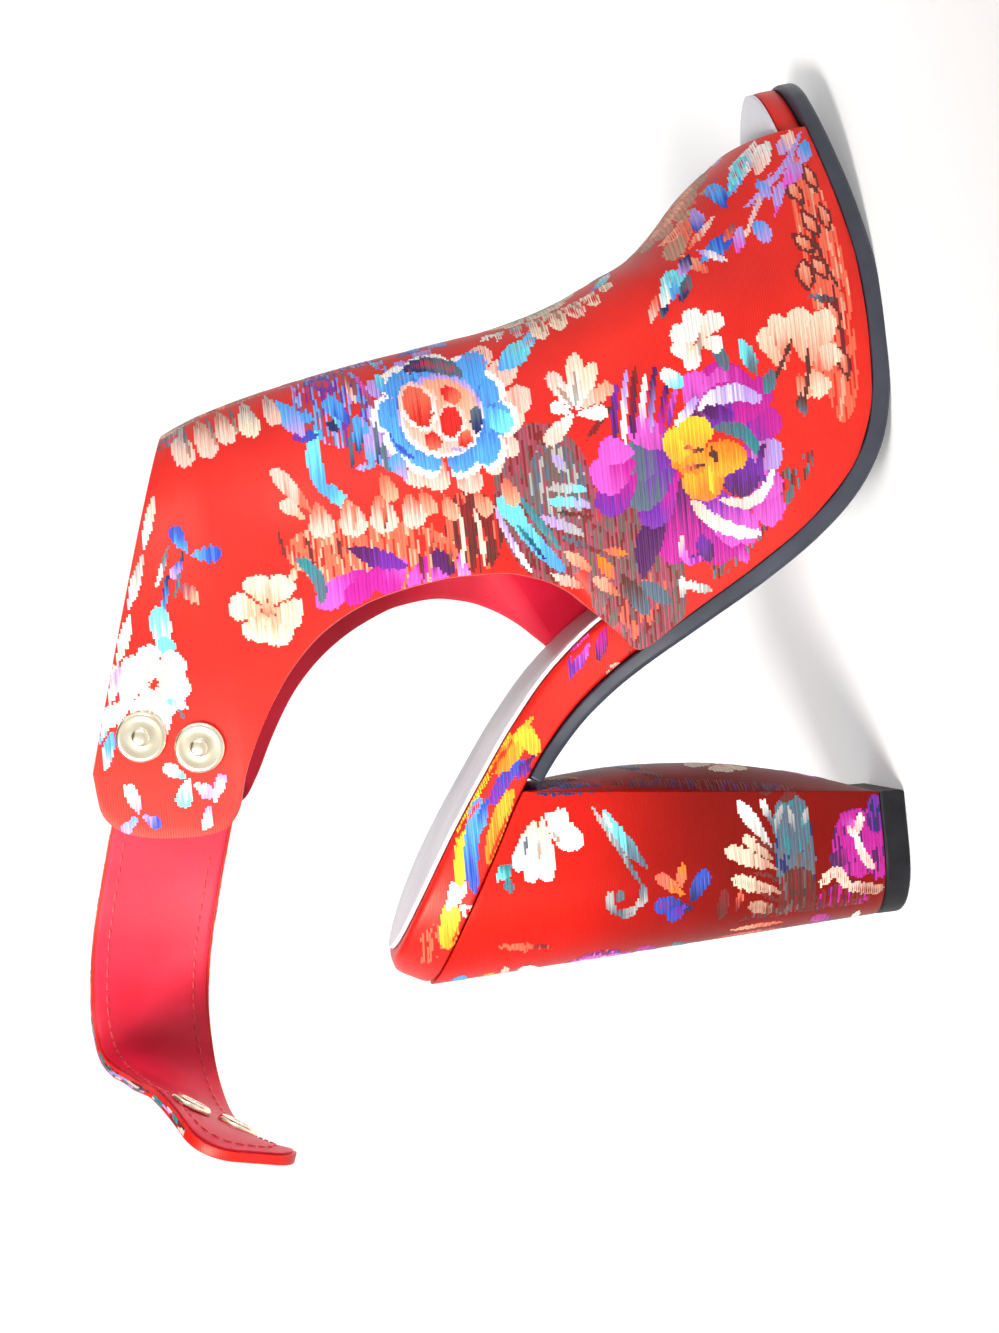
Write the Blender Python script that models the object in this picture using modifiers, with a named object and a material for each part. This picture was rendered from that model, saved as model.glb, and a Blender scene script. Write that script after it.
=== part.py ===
"""Peep-toe ankle strap heel, a right shoe: brocade upper, ankle strap with snaps and covered block heel.

Working sizes are millimetres. X runs from the heel's back (0) to the toe, Z is up from the floor and
the outer side of the foot is at -Y. An empty then carries every piece, so that the shoe's box is centred
on the origin.
"""

import math

import bmesh
import bpy
import numpy as np
from mathutils import Matrix, Vector

MM = 0.001

# Driving dimensions
GAP = 0.3  # between pieces that are glued or stitched together
WALL = 2.0  # upper: brocade, backing and lining
WALL_CLEAR = 0.5  # between the curved wall and the insole's edge
HEEL_END = 3.5  # back end of the footbed's top
TOE_END = 205.0  # front end of the footbed's top
HEEL_ROUND = 27.0  # length over which the heel end of the sole rounds off
TOE_ROUND = 72.0  # length over which the toe rounds off
HEEL_FULLNESS = 2.3
TOE_FULLNESS = 1.9
RAND_EDGE = 2.0  # rounding of the covered insole's upper edge
SOLE_LEDGE = 0.4  # outsole beyond the upper's wall
SOCK_INSET = 1.2
SOCK_THICKNESS = 0.9
WAIST_START = 60.0  # station where the outsole begins to grow wider than the rand
WAIST_LENGTH = 26.0
HEEL_BREAST = 43.2  # front of the heel under the insole
HEEL_SEAT_END = 56.0  # station just past the heel's breast
HEEL_SEAT_STEPS = 14
BREAST_SHARES = (0.75, 0.4, 0.0, -0.4, -0.75)  # points across the breast, as shares of its half width
OUTSOLE_START = 51.6  # footbed station where the outsole ends at the heel's breast
HEEL_FOOT_BACK = 4.0
HEEL_FOOT_FRONT = 34.6
HEEL_FOOT_HALF = 18.5
HEEL_BELLY = 6.0  # how far the breast swells forward half way up
TOP_PIECE = 6.0
TOP_PIECE_EDGE = 0.6
TREAD_HEIGHT = 0.0
STRAP_WIDTH = 29.0
STRAP_THICKNESS = 2.2
STRAP_CORNER = 9.0
SNAP_SPACING = 13.4
SNAP_FROM_STRAP_END = 24.0
SNAP_SEAT = 0.4  # clear of the curved tab
STUD_PLACES = [(64.1, 175.7), (60.6, 163.0)]  # x and z on the outer tab
SNAP_TURNS = 20

# Snap profiles, from the middle of the front to the middle of the back
SNAP_STUD = [
    # radius  height
    (0.0, 3.0),
    (1.5, 3.0),
    (2.1, 2.4),
    (1.7, 1.5),
    (1.9, 1.0),
    (4.6, 1.0),
    (5.7, 0.6),
    (5.7, 0.0),
    (0.0, 0.0),
]
SNAP_SOCKET = [
    # radius  height
    (2.3, 1.5),
    (4.2, 1.6),
    (5.0, 1.0),
    (5.0, 0.0),
    (2.3, 0.0),
    (2.3, 1.5),
]


class Table:
    """Rows of named columns, read as smooth curves along the first column."""

    def __init__(self, columns, rows):
        self.column = dict(zip(columns.split(), np.array(rows, float).T))
        self.along = next(iter(self.column.values()))

    def at(self, name, where):
        return smooth(self.along, self.column[name], where)


def smooth(places, values, where):
    """A curve through (places, values), with no corners, read at where."""
    slopes = np.gradient(values, places)
    i = np.clip(np.searchsorted(places, where) - 1, 0, len(places) - 2)
    step = places[i + 1] - places[i]
    f = (where - places[i]) / step
    start = values[i] * (1 + 2 * f) * (1 - f) ** 2 + slopes[i] * step * f * (1 - f) ** 2
    end = values[i + 1] * f * f * (3 - 2 * f) + slopes[i + 1] * step * f * f * (f - 1)
    return start + end


# The footbed's top from heel to toe, the layers under it, and the sole's outline seen from above
FOOTBED = Table(
    "x z insole outsole centre half",
    [
        (3.5, 124.8, 11.0, 3.0, 0.0, 26.5),
        (20.0, 116.4, 11.0, 3.0, 0.0, 26.5),
        (36.0, 107.0, 10.5, 3.0, -0.2, 26.0),
        (47.0, 99.7, 9.3, 3.0, -0.6, 25.4),
        (59.0, 91.2, 9.0, 3.2, -1.2, 24.8),
        (72.0, 79.8, 9.8, 3.4, -1.8, 24.8),
        (81.3, 68.2, 10.4, 3.6, -2.2, 25.6),
        (89.5, 53.4, 9.8, 3.8, -2.3, 27.6),
        (97.0, 39.0, 8.8, 4.0, -2.2, 30.0),
        (103.5, 27.8, 7.8, 4.1, -1.9, 32.2),
        (110.0, 19.2, 6.8, 4.2, -1.5, 34.0),
        (117.5, 13.2, 6.0, 4.2, -1.0, 35.6),
        (127.0, 10.2, 5.5, 4.2, -0.5, 36.8),
        (140.0, 9.6, 5.5, 4.2, 0.0, 37.2),
        (154.0, 9.9, 5.5, 4.2, 0.6, 37.2),
        (168.0, 11.6, 5.4, 4.1, 1.4, 37.2),
        (182.0, 13.8, 5.2, 4.0, 2.2, 37.2),
        (194.0, 15.4, 5.0, 3.8, 3.1, 37.2),
        (205.0, 16.6, 4.8, 3.6, 4.0, 37.2),
    ],
)

# Upper, rows that stand on the sole: stations on the footbed's outer and inner edge, then the vamp's ridge
VAMP_ROWS = [
    # outer  inner  ridge x  ridge z  ridge y  fullness  swell
    (190.5, 190.5, 189.5, 26.5, 2.8, 2.2, 0.050),
    (181.0, 181.0, 180.5, 37.6, 2.0, 2.2, 0.045),
    (169.0, 168.5, 171.5, 45.6, 1.4, 2.2, 0.035),
    (155.0, 154.0, 165.2, 52.8, 0.9, 2.2, 0.025),
    (141.0, 139.5, 161.2, 61.5, 0.5, 2.3, 0.020),
    (128.5, 126.5, 157.6, 69.5, 0.2, 2.4, 0.020),
    (117.0, 114.5, 154.8, 77.5, 0.0, 2.5, 0.020),
    (106.5, 103.5, 152.6, 85.8, 0.0, 2.6, 0.025),
    (97.5, 93.5, 151.1, 94.0, 0.0, 2.7, 0.030),
    (89.5, 84.5, 149.9, 101.5, 0.0, 2.8, 0.035),
    (82.0, 76.0, 148.8, 108.5, 0.0, 2.9, 0.040),
]

# Upper, rows that end in the open back: the cut edge on each side, with the share of the last's section
# that the cut leaves out below it and the last's half width at its base, then the ridge
QUARTER_ROWS = [
    # outer x  z  cut  half  inner x  z  cut  half  ridge x  ridge z  fullness  swell
    (77.2, 66.0, 0.064, 30.4, 71.5, 71.8, 0.051, 25.9, 148.3, 111.8, 2.90, 0.050),
    (82.5, 71.2, 0.144, 30.3, 76.5, 76.6, 0.126, 26.2, 147.8, 114.8, 3.00, 0.060),
    (87.6, 76.4, 0.219, 30.2, 81.6, 81.8, 0.201, 26.5, 147.2, 117.9, 3.10, 0.075),
    (91.3, 83.2, 0.290, 30.1, 86.0, 88.0, 0.278, 26.9, 146.6, 121.2, 3.20, 0.090),
    (93.4, 92.0, 0.358, 30.0, 89.2, 95.2, 0.345, 27.3, 145.9, 124.8, 3.35, 0.105),
    (93.5, 101.0, 0.417, 29.8, 90.6, 103.4, 0.402, 27.8, 145.1, 128.8, 3.55, 0.120),
    (92.4, 110.8, 0.472, 29.6, 89.6, 112.2, 0.444, 28.2, 144.2, 133.2, 3.75, 0.132),
    (89.8, 121.6, 0.515, 29.5, 86.2, 121.2, 0.483, 28.5, 143.2, 137.8, 3.95, 0.142),
    (84.6, 132.0, 0.525, 29.4, 80.4, 130.6, 0.490, 28.8, 142.1, 142.4, 4.15, 0.148),
    (76.0, 141.0, 0.497, 29.3, 71.6, 139.4, 0.462, 28.9, 140.9, 146.9, 4.30, 0.150),
    (64.4, 148.4, 0.433, 29.2, 60.4, 146.4, 0.402, 29.0, 139.7, 151.2, 4.40, 0.148),
    (53.5, 153.4, 0.361, 29.1, 50.5, 151.4, 0.338, 29.0, 138.6, 154.8, 4.40, 0.142),
    (45.0, 156.0, 0.293, 29.0, 45.2, 155.0, 0.295, 29.0, 137.8, 157.2, 4.35, 0.136),
    (41.6, 159.6, 0.257, 29.0, 43.2, 159.0, 0.270, 29.0, 137.1, 159.0, 4.30, 0.130),
    (40.7, 166.0, 0.234, 29.0, 42.8, 166.0, 0.251, 29.0, 136.4, 160.7, 4.25, 0.126),
    (41.2, 174.0, 0.219, 29.0, 42.8, 174.0, 0.232, 29.0, 135.7, 162.3, 4.20, 0.123),
    (43.2, 181.5, 0.223, 29.0, 43.0, 181.0, 0.221, 29.0, 135.0, 163.8, 4.15, 0.121),
    (48.4, 186.2, 0.258, 29.0, 43.8, 186.4, 0.220, 29.0, 134.4, 165.0, 4.10, 0.120),
    (57.0, 187.2, 0.333, 29.0, 46.5, 188.8, 0.242, 29.0, 133.9, 166.0, 4.10, 0.120),
]

# Ankle strap: its middle line from the lap inside the inner quarter, round the back, to the loose end,
# and how far its upper edge leans towards the ankle, in degrees
STRAP_PATH = [
    # x      y      z      lean
    (51.0, 27.9, 170.2, 0.0),
    (40.0, 27.7, 173.4, 0.0),
    (28.0, 28.0, 176.8, 0.0),
    (12.0, 28.8, 180.8, 4.0),
    (-3.0, 28.0, 182.8, 12.0),
    (-14.5, 22.8, 182.0, 22.0),
    (-21.4, 12.6, 179.0, 30.0),
    (-24.6, -1.0, 174.6, 34.0),
    (-26.2, -14.0, 169.6, 36.0),
    (-28.6, -26.0, 164.2, 31.0),
    (-31.8, -36.0, 158.8, 24.0),
]

# Mesh steps
SOLE_STEPS = 34
END_STEPS = 10
UPPER_ROW_STEPS = 2
UPPER_SIDE_STEPS = 14
STRAP_STEPS = 3
STRAP_CORNER_STEPS = 4
STRAP_ACROSS = 6
HEEL_LEVELS = 8

# Colours: red, green, blue, roughness, metallic
FINISHES = {
    "red_brocade": (0.80, 0.06, 0.04, 0.45, 0.0),
    "white_sock": (0.86, 0.86, 0.88, 0.45, 0.0),
    "navy_sole": (0.035, 0.04, 0.06, 0.45, 0.0),
    "black_top_piece": (0.012, 0.012, 0.014, 0.4, 0.0),
    "pale_gold": (0.86, 0.78, 0.58, 0.22, 1.0),
}


def clear_scene():
    for item in list(bpy.data.objects):
        bpy.data.objects.remove(item)


def finish(name):
    material = bpy.data.materials.get(name)
    if material is None:
        red, green, blue, roughness, metallic = FINISHES[name]
        material = bpy.data.materials.new(name)
        material.use_nodes = True
        shader = material.node_tree.nodes["Principled BSDF"]
        shader.inputs["Base Color"].default_value = (red, green, blue, 1.0)
        shader.inputs["Roughness"].default_value = roughness
        shader.inputs["Metallic"].default_value = metallic
    return material


def add_part(name, mesh_of, finish_name, carrier):
    """One named piece from a bmesh in millimetres, parented to the carrier."""
    bmesh.ops.remove_doubles(mesh_of, verts=mesh_of.verts, dist=0.001)
    bmesh.ops.recalc_face_normals(mesh_of, faces=mesh_of.faces)
    bmesh.ops.scale(mesh_of, vec=(MM, MM, MM), verts=mesh_of.verts)
    mesh = bpy.data.meshes.new(name)
    mesh_of.to_mesh(mesh)
    mesh_of.free()
    mesh.shade_smooth()
    mesh.set_sharp_from_angle(angle=math.radians(35))
    mesh.materials.append(finish(finish_name))
    part = bpy.data.objects.new(name, mesh)
    part.parent = carrier
    bpy.data.collections["ankle_strap_heel"].objects.link(part)
    return part


def loft(sections, closed):
    """A skin over sections with equal numbers of points. Closed sections are capped at both ends."""
    skin = bmesh.new()
    rings = [[skin.verts.new(point) for point in section] for section in sections]
    count = len(rings[0])
    for ring, following in zip(rings, rings[1:]):
        for i in range(count if closed else count - 1):
            j = (i + 1) % count
            skin.faces.new((ring[i], ring[j], following[j], following[i]))
    if closed:
        skin.faces.new(rings[0][::-1])
        skin.faces.new(rings[-1])
    return skin


def round_end(from_end, length, fullness):
    """Share of the full width at a distance from a rounded end."""
    left = np.clip(1 - from_end / length, 0, 1)
    return np.sqrt(1 - left**fullness)


def half_width(x):
    heel = round_end(x - HEEL_END, HEEL_ROUND, HEEL_FULLNESS)
    toe = round_end(TOE_END - x, TOE_ROUND, TOE_FULLNESS)
    return FOOTBED.at("half", x) * heel * toe


def footbed_normal(x):
    """Upward normal of the footbed in the side view."""
    step = 0.2
    rise = (FOOTBED.at("z", x + step) - FOOTBED.at("z", x - step)) / (2 * step)
    return np.array((-rise, 1.0)) / math.hypot(rise, 1.0)


def under_footbed(x, depth):
    """Side view point at a depth below the footbed's top, square to it."""
    return np.array((x, FOOTBED.at("z", x))) - footbed_normal(x) * depth


def outline_stretch(x):
    """How much a gap square to the outline grows when it is measured along Y."""
    step = 0.2
    slope = (half_width(x + step) - half_width(x - step)) / (2 * step)
    return math.hypot(slope, 1.0)


def stations(start, end, steps):
    """Places along the footbed, closing up where an end is rounded."""
    places = np.linspace(start, end, steps)
    if start == HEEL_END:
        turn = np.linspace(0, math.pi / 2, END_STEPS)
        places = np.concatenate([start + HEEL_ROUND * (1 - np.cos(turn)), places])
    if end == TOE_END:
        turn = np.linspace(0, math.pi / 2, END_STEPS)
        places = np.concatenate([places, end - TOE_ROUND * (1 - np.cos(turn))])
    places = np.sort(places)
    return places[np.insert(np.diff(places) > 0.35, 0, True) | (places == end)]


def sole_section(x, half, edge_profile, lowest=None):
    """A closed section across the sole. Edge points are insets from the edge and depths under the footbed."""
    middle = FOOTBED.at("centre", x)
    across = [(-1, inset, depth) for inset, depth in edge_profile]
    across += [(1, inset, depth) for inset, depth in reversed(edge_profile)]
    section = []
    for side, inset, depth in across:
        along, height = under_footbed(x, depth)
        if lowest is not None:
            height = max(height, lowest)
        section.append((along, middle + side * max(half - inset, 0.0), height))
    return section


def make_insole(carrier):
    """Insole board with its brocade-covered edge, from heel to toe."""
    sections = []
    for x in stations(HEEL_END, TOE_END, SOLE_STEPS):
        thick = FOOTBED.at("insole", x)
        profile = [
            (RAND_EDGE, 0.0),
            (RAND_EDGE * 0.3, RAND_EDGE * 0.3),
            (0.0, RAND_EDGE),
            (0.0, thick - RAND_EDGE / 2),
            (RAND_EDGE / 2, thick),
        ]
        sections.append(sole_section(x, half_width(x), profile))
    return add_part("insole", loft(sections, True), "red_brocade", carrier)


def make_sock_lining(carrier):
    """Thin white sock that lies on the insole."""
    sections = []
    for x in stations(HEEL_END, TOE_END, SOLE_STEPS):
        profile = [(SOCK_INSET, -GAP - SOCK_THICKNESS), (SOCK_INSET, -GAP)]
        sections.append(sole_section(x, half_width(x), profile))
    return add_part("sock_lining", loft(sections, True), "white_sock", carrier)


def outsole_half(x):
    """Under the upper the outsole reaches past its wall. At the waist it draws in to the rand."""
    under_upper = np.clip((x - WAIST_START) / WAIST_LENGTH, 0, 1)
    return half_width(x) + (WALL_CLEAR + WALL + SOLE_LEDGE) * outline_stretch_capped(x) * under_upper


def outline_stretch_capped(x):
    return min(outline_stretch(x), 1.6)


def make_outsole(carrier):
    """Outsole from the heel's breast to the toe, flat where the ball of the foot treads."""
    sections = []
    for x in stations(OUTSOLE_START, TOE_END, SOLE_STEPS):
        top = FOOTBED.at("insole", x) + GAP
        bottom = top + FOOTBED.at("outsole", x)
        profile = [(0.0, top), (0.0, bottom - 1.0), (1.2, bottom)]
        sections.append(sole_section(x, outsole_half(x), profile, TREAD_HEIGHT))
    return add_part("outsole", loft(sections, True), "navy_sole", carrier)


def upper_rows():
    """Every row of the upper: ridge x, y, z, each side's x, z, cut and half width, fullness and swell."""
    rows = []
    for outer, inner, ridge_x, ridge_z, ridge_y, fullness, swell in VAMP_ROWS:
        sides = []
        for side, x in ((-1, outer), (1, inner)):
            along, height = under_footbed(x, FOOTBED.at("insole", x) - GAP)
            reach = half_width(x) + (WALL_CLEAR + WALL) * outline_stretch_capped(x)
            edge = FOOTBED.at("centre", x) + side * reach
            sides += [along, height, 0.0, abs(edge - ridge_y)]
        rows.append([ridge_x, ridge_y, ridge_z, *sides, fullness, swell])
    for *sides, ridge_x, ridge_z, fullness, swell in QUARTER_ROWS:
        rows.append([ridge_x, 0.0, ridge_z, *sides, fullness, swell])
    return np.array(rows)


def upper_point(row, across):
    """A point of the upper's outside. Across runs from -1 at the outer edge, over the ridge, to 1."""
    ridge_x, ridge_y, ridge_z = row[0:3]
    edge_x, edge_z, cut, half = row[3:7] if across < 0 else row[7:11]
    fullness, swell = row[11:13]
    down = across * across
    up = max(1 - (1 - cut) * down, 0.0)
    spread = half * math.sqrt(max(1 - up**fullness, 0.0)) * (1 + 4 * swell * up * (1 - up))
    x = ridge_x + (edge_x - ridge_x) * down
    z = ridge_z + (edge_z - ridge_z) * down
    return np.array((x, ridge_y + math.copysign(spread, across), z))


def upper_sections():
    rows = upper_rows()
    places = np.arange(len(rows), dtype=float)
    dense = np.linspace(0, len(rows) - 1, (len(rows) - 1) * UPPER_ROW_STEPS + 1)
    columns = [smooth(places, rows[:, i], dense) for i in range(rows.shape[1])]
    steps = np.linspace(-1, 1, 2 * UPPER_SIDE_STEPS + 1)
    return [[upper_point(row, across) for across in steps] for row in np.array(columns).T]


def make_upper(carrier):
    """Vamp, quarters and snap tab as one hollow wall: open at the toe, collar and back, and underneath."""
    upper = add_part("upper", loft(upper_sections(), False), "red_brocade", carrier)
    wall = upper.modifiers.new("wall", "SOLIDIFY")
    wall.thickness = WALL * MM
    wall.offset = -1
    return upper


def strap_frames():
    """Points along the strap's middle line with its direction, width direction and half width."""
    path = np.array(STRAP_PATH)
    places = np.arange(len(path), dtype=float)
    dense = np.linspace(0, len(path) - 1, (len(path) - 1) * STRAP_STEPS + 1)
    line = np.array([smooth(places, path[:, i], dense) for i in range(4)]).T
    lengths = np.insert(np.cumsum(np.linalg.norm(np.diff(line[:, :3], axis=0), axis=1)), 0, 0)
    end = lengths[-1]
    turn = np.linspace(0, math.pi / 2, STRAP_CORNER_STEPS + 1)
    corner = end - STRAP_CORNER * (1 - np.sin(turn))
    places = np.concatenate([lengths[lengths < corner[0] - 1], corner])
    points = np.array([np.interp(places, lengths, line[:, i]) for i in range(3)]).T
    leans = np.interp(places, lengths, line[:, 3])
    directions = np.gradient(points, places, axis=0)
    frames = []
    for place, point, along, lean in zip(places, points, directions, leans):
        along = Vector(along).normalized()
        upright = (Vector((0, 0, 1)) - along * along.z).normalized()
        width = Matrix.Rotation(math.radians(-lean), 3, along) @ upright
        inward = max(STRAP_CORNER - (end - place), 0.0)
        half = STRAP_WIDTH / 2 - STRAP_CORNER + math.sqrt(STRAP_CORNER**2 - inward**2)
        frames.append((place, Vector(point), along, width, half))
    return frames


def make_strap(carrier):
    """Ankle strap: a flat band with a rounded loose end, lapped inside the inner quarter."""
    steps = np.linspace(-1, 1, STRAP_ACROSS + 1)
    sections = [[point + width * half * s for s in steps] for _, point, _, width, half in strap_frames()]
    strap = add_part("ankle_strap", loft(sections, False), "red_brocade", carrier)
    wall = strap.modifiers.new("wall", "SOLIDIFY")
    wall.thickness = STRAP_THICKNESS * MM
    wall.offset = 0
    wall.use_even_offset = True
    return strap


def heel_outlines():
    """The heel's outline under the insole and at its foot, from the breast round the back."""
    reach = []
    for x in stations(HEEL_END, HEEL_SEAT_END, HEEL_SEAT_STEPS):
        along, height = under_footbed(x, FOOTBED.at("insole", x) + GAP)
        reach.append((along, FOOTBED.at("centre", x), half_width(x), height))
    reach = np.array([r for r in reach if r[0] < HEEL_BREAST - 0.5])
    last = [np.interp(HEEL_BREAST, reach[:, 0], reach[:, i]) for i in range(4)]
    slope = (reach[-1, 3] - reach[-2, 3]) / (reach[-1, 0] - reach[-2, 0])
    last[0] = HEEL_BREAST
    last[3] = reach[-1, 3] + slope * (HEEL_BREAST - reach[-1, 0])
    reach = np.vstack([reach, last])
    outer = [(x, middle - half, height) for x, middle, half, height in reach[::-1]]
    inner = [(x, middle + half, height) for x, middle, half, height in reach[1:]]
    breast = [(last[0], last[1] + last[2] * share, last[3]) for share in BREAST_SHARES]
    top = np.array(outer + inner + breast)
    back, widest = top[:, 0].min(), np.abs(top[:, 1]).max()
    share = (top[:, 0] - back) / (HEEL_BREAST - back)
    foot_x = HEEL_FOOT_BACK + share * (HEEL_FOOT_FRONT - HEEL_FOOT_BACK)
    foot = np.stack([foot_x, top[:, 1] * HEEL_FOOT_HALF / widest], axis=1)
    swell = np.where(share > 0.999, 1 - ((top[:, 1] - last[1]) / last[2]) ** 2, 0)
    return top, foot, swell


def make_heel(carrier):
    """Covered block heel, straight at the back and sides, with a breast that swells in the middle."""
    top, foot, swell = heel_outlines()
    low = TOP_PIECE + GAP
    sections = []
    for level in np.linspace(0, 1, HEEL_LEVELS):
        belly = HEEL_BELLY * 4 * level * (1 - level) * swell
        x = foot[:, 0] + (top[:, 0] - foot[:, 0]) * level + belly
        y = foot[:, 1] + (top[:, 1] - foot[:, 1]) * level
        z = low + (top[:, 2] - low) * level
        sections.append(list(zip(x, y, z)))
    return add_part("heel", loft(sections, True), "red_brocade", carrier)


def make_top_piece(carrier):
    """Hard-wearing top piece that the heel stands on."""
    _, foot, _ = heel_outlines()
    sections = [[(x, y, z) for x, y in foot] for z in (TREAD_HEIGHT, TOP_PIECE)]
    piece = add_part("top_piece", loft(sections, True), "black_top_piece", carrier)
    edge = piece.modifiers.new("edge", "BEVEL")
    edge.width = TOP_PIECE_EDGE * MM
    edge.segments = 2
    edge.limit_method = "ANGLE"
    edge.angle_limit = math.radians(60)
    return piece


def turned(name, profile, place, axis, carrier):
    """A round metal piece: the profile of radius and height turns about the axis."""
    line = bmesh.new()
    points = [line.verts.new((radius, 0.0, height)) for radius, height in profile]
    for start, end in zip(points, points[1:]):
        line.edges.new((start, end))
    piece = add_part(name, line, "pale_gold", carrier)
    facing = Vector(axis).to_track_quat("Z", "Y").to_matrix().to_4x4()
    piece.matrix_local = Matrix.Translation(Vector(place) * MM) @ facing
    screw = piece.modifiers.new("turn", "SCREW")
    screw.steps = SNAP_TURNS
    screw.render_steps = SNAP_TURNS
    screw.use_merge_vertices = True
    screw.merge_threshold = 0.00001
    return piece


def make_snaps(carrier):
    """Two studs on the outer tab, and the sockets inside the strap's loose end that press onto them."""
    sections = np.array(upper_sections())
    outer_half = sections[:, :UPPER_SIDE_STEPS]
    for number, (x, z) in enumerate(STUD_PLACES, 1):
        distance = np.hypot(outer_half[:, :, 0] - x, outer_half[:, :, 2] - z)
        i, j = np.unravel_index(distance.argmin(), distance.shape)
        along = Vector(sections[i, j + 1] - sections[i, j - 1])
        up = Vector(sections[i + 1, j] - sections[i - 1, j])
        out = along.cross(up).normalized()
        out *= -1 if out.y > 0 else 1
        near = Vector(sections[i, j])
        y = near.y - (out.x * (x - near.x) + out.z * (z - near.z)) / out.y
        seat = Vector((x, y, z)) + out * SNAP_SEAT
        turned(f"snap_stud_{number}", SNAP_STUD, seat, out, carrier)
    frames = strap_frames()
    end = frames[-1][0]
    _, point, along, width, _ = min(frames, key=lambda f: abs(end - f[0] - SNAP_FROM_STRAP_END))
    inner = width.cross(along)
    inner *= -1 if inner.x < 0 else 1
    for number, side in ((1, 1), (2, -1)):
        seat = point + width * side * SNAP_SPACING / 2 + inner * (STRAP_THICKNESS / 2 + GAP)
        turned(f"snap_socket_{number}", SNAP_SOCKET, seat, inner, carrier)


def centre_on_floor(carrier):
    """Moves the carrier so that the middle of the shoe's box, on the floor, is the origin."""
    bpy.context.view_layer.update()
    graph = bpy.context.evaluated_depsgraph_get()
    corners = []
    for part in carrier.children:
        whole = part.evaluated_get(graph)
        corners += [whole.matrix_world @ Vector(corner) for corner in whole.bound_box]
    low = Vector(map(min, zip(*corners)))
    high = Vector(map(max, zip(*corners)))
    carrier.location = (-(low.x + high.x) / 2, -(low.y + high.y) / 2, -low.z)


def main():
    clear_scene()
    collection = bpy.data.collections.new("ankle_strap_heel")
    bpy.context.scene.collection.children.link(collection)
    carrier = bpy.data.objects.new("shoe", None)
    collection.objects.link(carrier)
    make_outsole(carrier)
    make_insole(carrier)
    make_sock_lining(carrier)
    make_upper(carrier)
    make_strap(carrier)
    make_heel(carrier)
    make_top_piece(carrier)
    make_snaps(carrier)
    centre_on_floor(carrier)


main()
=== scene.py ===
# %% [markdown]
# # An ankle strap heel in floral brocade
#
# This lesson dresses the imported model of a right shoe: a peep-toe upper with an open back, an ankle strap
# that hangs open, a covered block heel and a thin dark sole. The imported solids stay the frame. Each soft
# piece is made again here as a finer mesh in the same place, and then the flowers of the cloth are woven on.

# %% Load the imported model
import math

import bpy
import numpy as np
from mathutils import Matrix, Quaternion, Vector
from mathutils.bvhtree import BVHTree


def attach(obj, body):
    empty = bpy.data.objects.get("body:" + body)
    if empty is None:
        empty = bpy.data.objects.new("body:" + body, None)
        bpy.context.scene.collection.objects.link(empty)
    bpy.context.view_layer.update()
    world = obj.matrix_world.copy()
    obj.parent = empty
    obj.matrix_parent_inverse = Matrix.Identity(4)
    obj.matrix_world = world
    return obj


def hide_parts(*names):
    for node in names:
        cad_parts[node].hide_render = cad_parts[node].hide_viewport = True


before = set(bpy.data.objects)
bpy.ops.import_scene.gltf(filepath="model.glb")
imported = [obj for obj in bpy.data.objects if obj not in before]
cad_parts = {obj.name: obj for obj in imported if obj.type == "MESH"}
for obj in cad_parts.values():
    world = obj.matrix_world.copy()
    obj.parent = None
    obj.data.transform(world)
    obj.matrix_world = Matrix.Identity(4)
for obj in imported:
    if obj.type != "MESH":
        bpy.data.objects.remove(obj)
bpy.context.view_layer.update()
print("nodes:", ", ".join(sorted(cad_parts)))

# %% [markdown]
# ## The last, in millimetres
#
# A shoemaker shapes everything over a last. Here the last is a few short tables, the same ones that shaped
# the solids: the line of the footbed from heel to toe, the rows of the upper and the path of the strap.
# X runs from the heel's back to the toe, Z is up from the floor, and the outer side of the foot is at -Y.
# The solids could be subdivided instead, but that would either keep their facets or blunt their edges. A
# table is read as a smooth curve, so one table can feed a coarse solid and a fine mesh.

# %% Tables read as smooth curves
MM = 0.001
SHOE_PLACE = np.array((-85.1967, 0.249, 0.0))  # from the heel's back on the floor to the frame's origin


def in_frame(points):
    """Points of the shoe, in millimetres, as places in the frame, in metres."""
    return (np.asarray(points, float) + SHOE_PLACE) * MM


def smooth(places, values, where, level=False):
    """A curve through (places, values), with no corners, read at where. With level, it keeps level where it
    turns back."""
    slopes = np.gradient(values, places)
    if level:
        before, after = np.diff(values)[:-1], np.diff(values)[1:]
        turns = before * after <= 0
        gentle = 2 * before * after / np.where(turns, 1.0, before + after)
        slopes[1:-1] = np.where(turns, 0.0, gentle)
    i = np.clip(np.searchsorted(places, where) - 1, 0, len(places) - 2)
    step = places[i + 1] - places[i]
    f = (where - places[i]) / step
    start = values[i] * (1 + 2 * f) * (1 - f) ** 2 + slopes[i] * step * f * (1 - f) ** 2
    end = values[i + 1] * f * f * (3 - 2 * f) + slopes[i + 1] * step * f * f * (f - 1)
    return start + end


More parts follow.
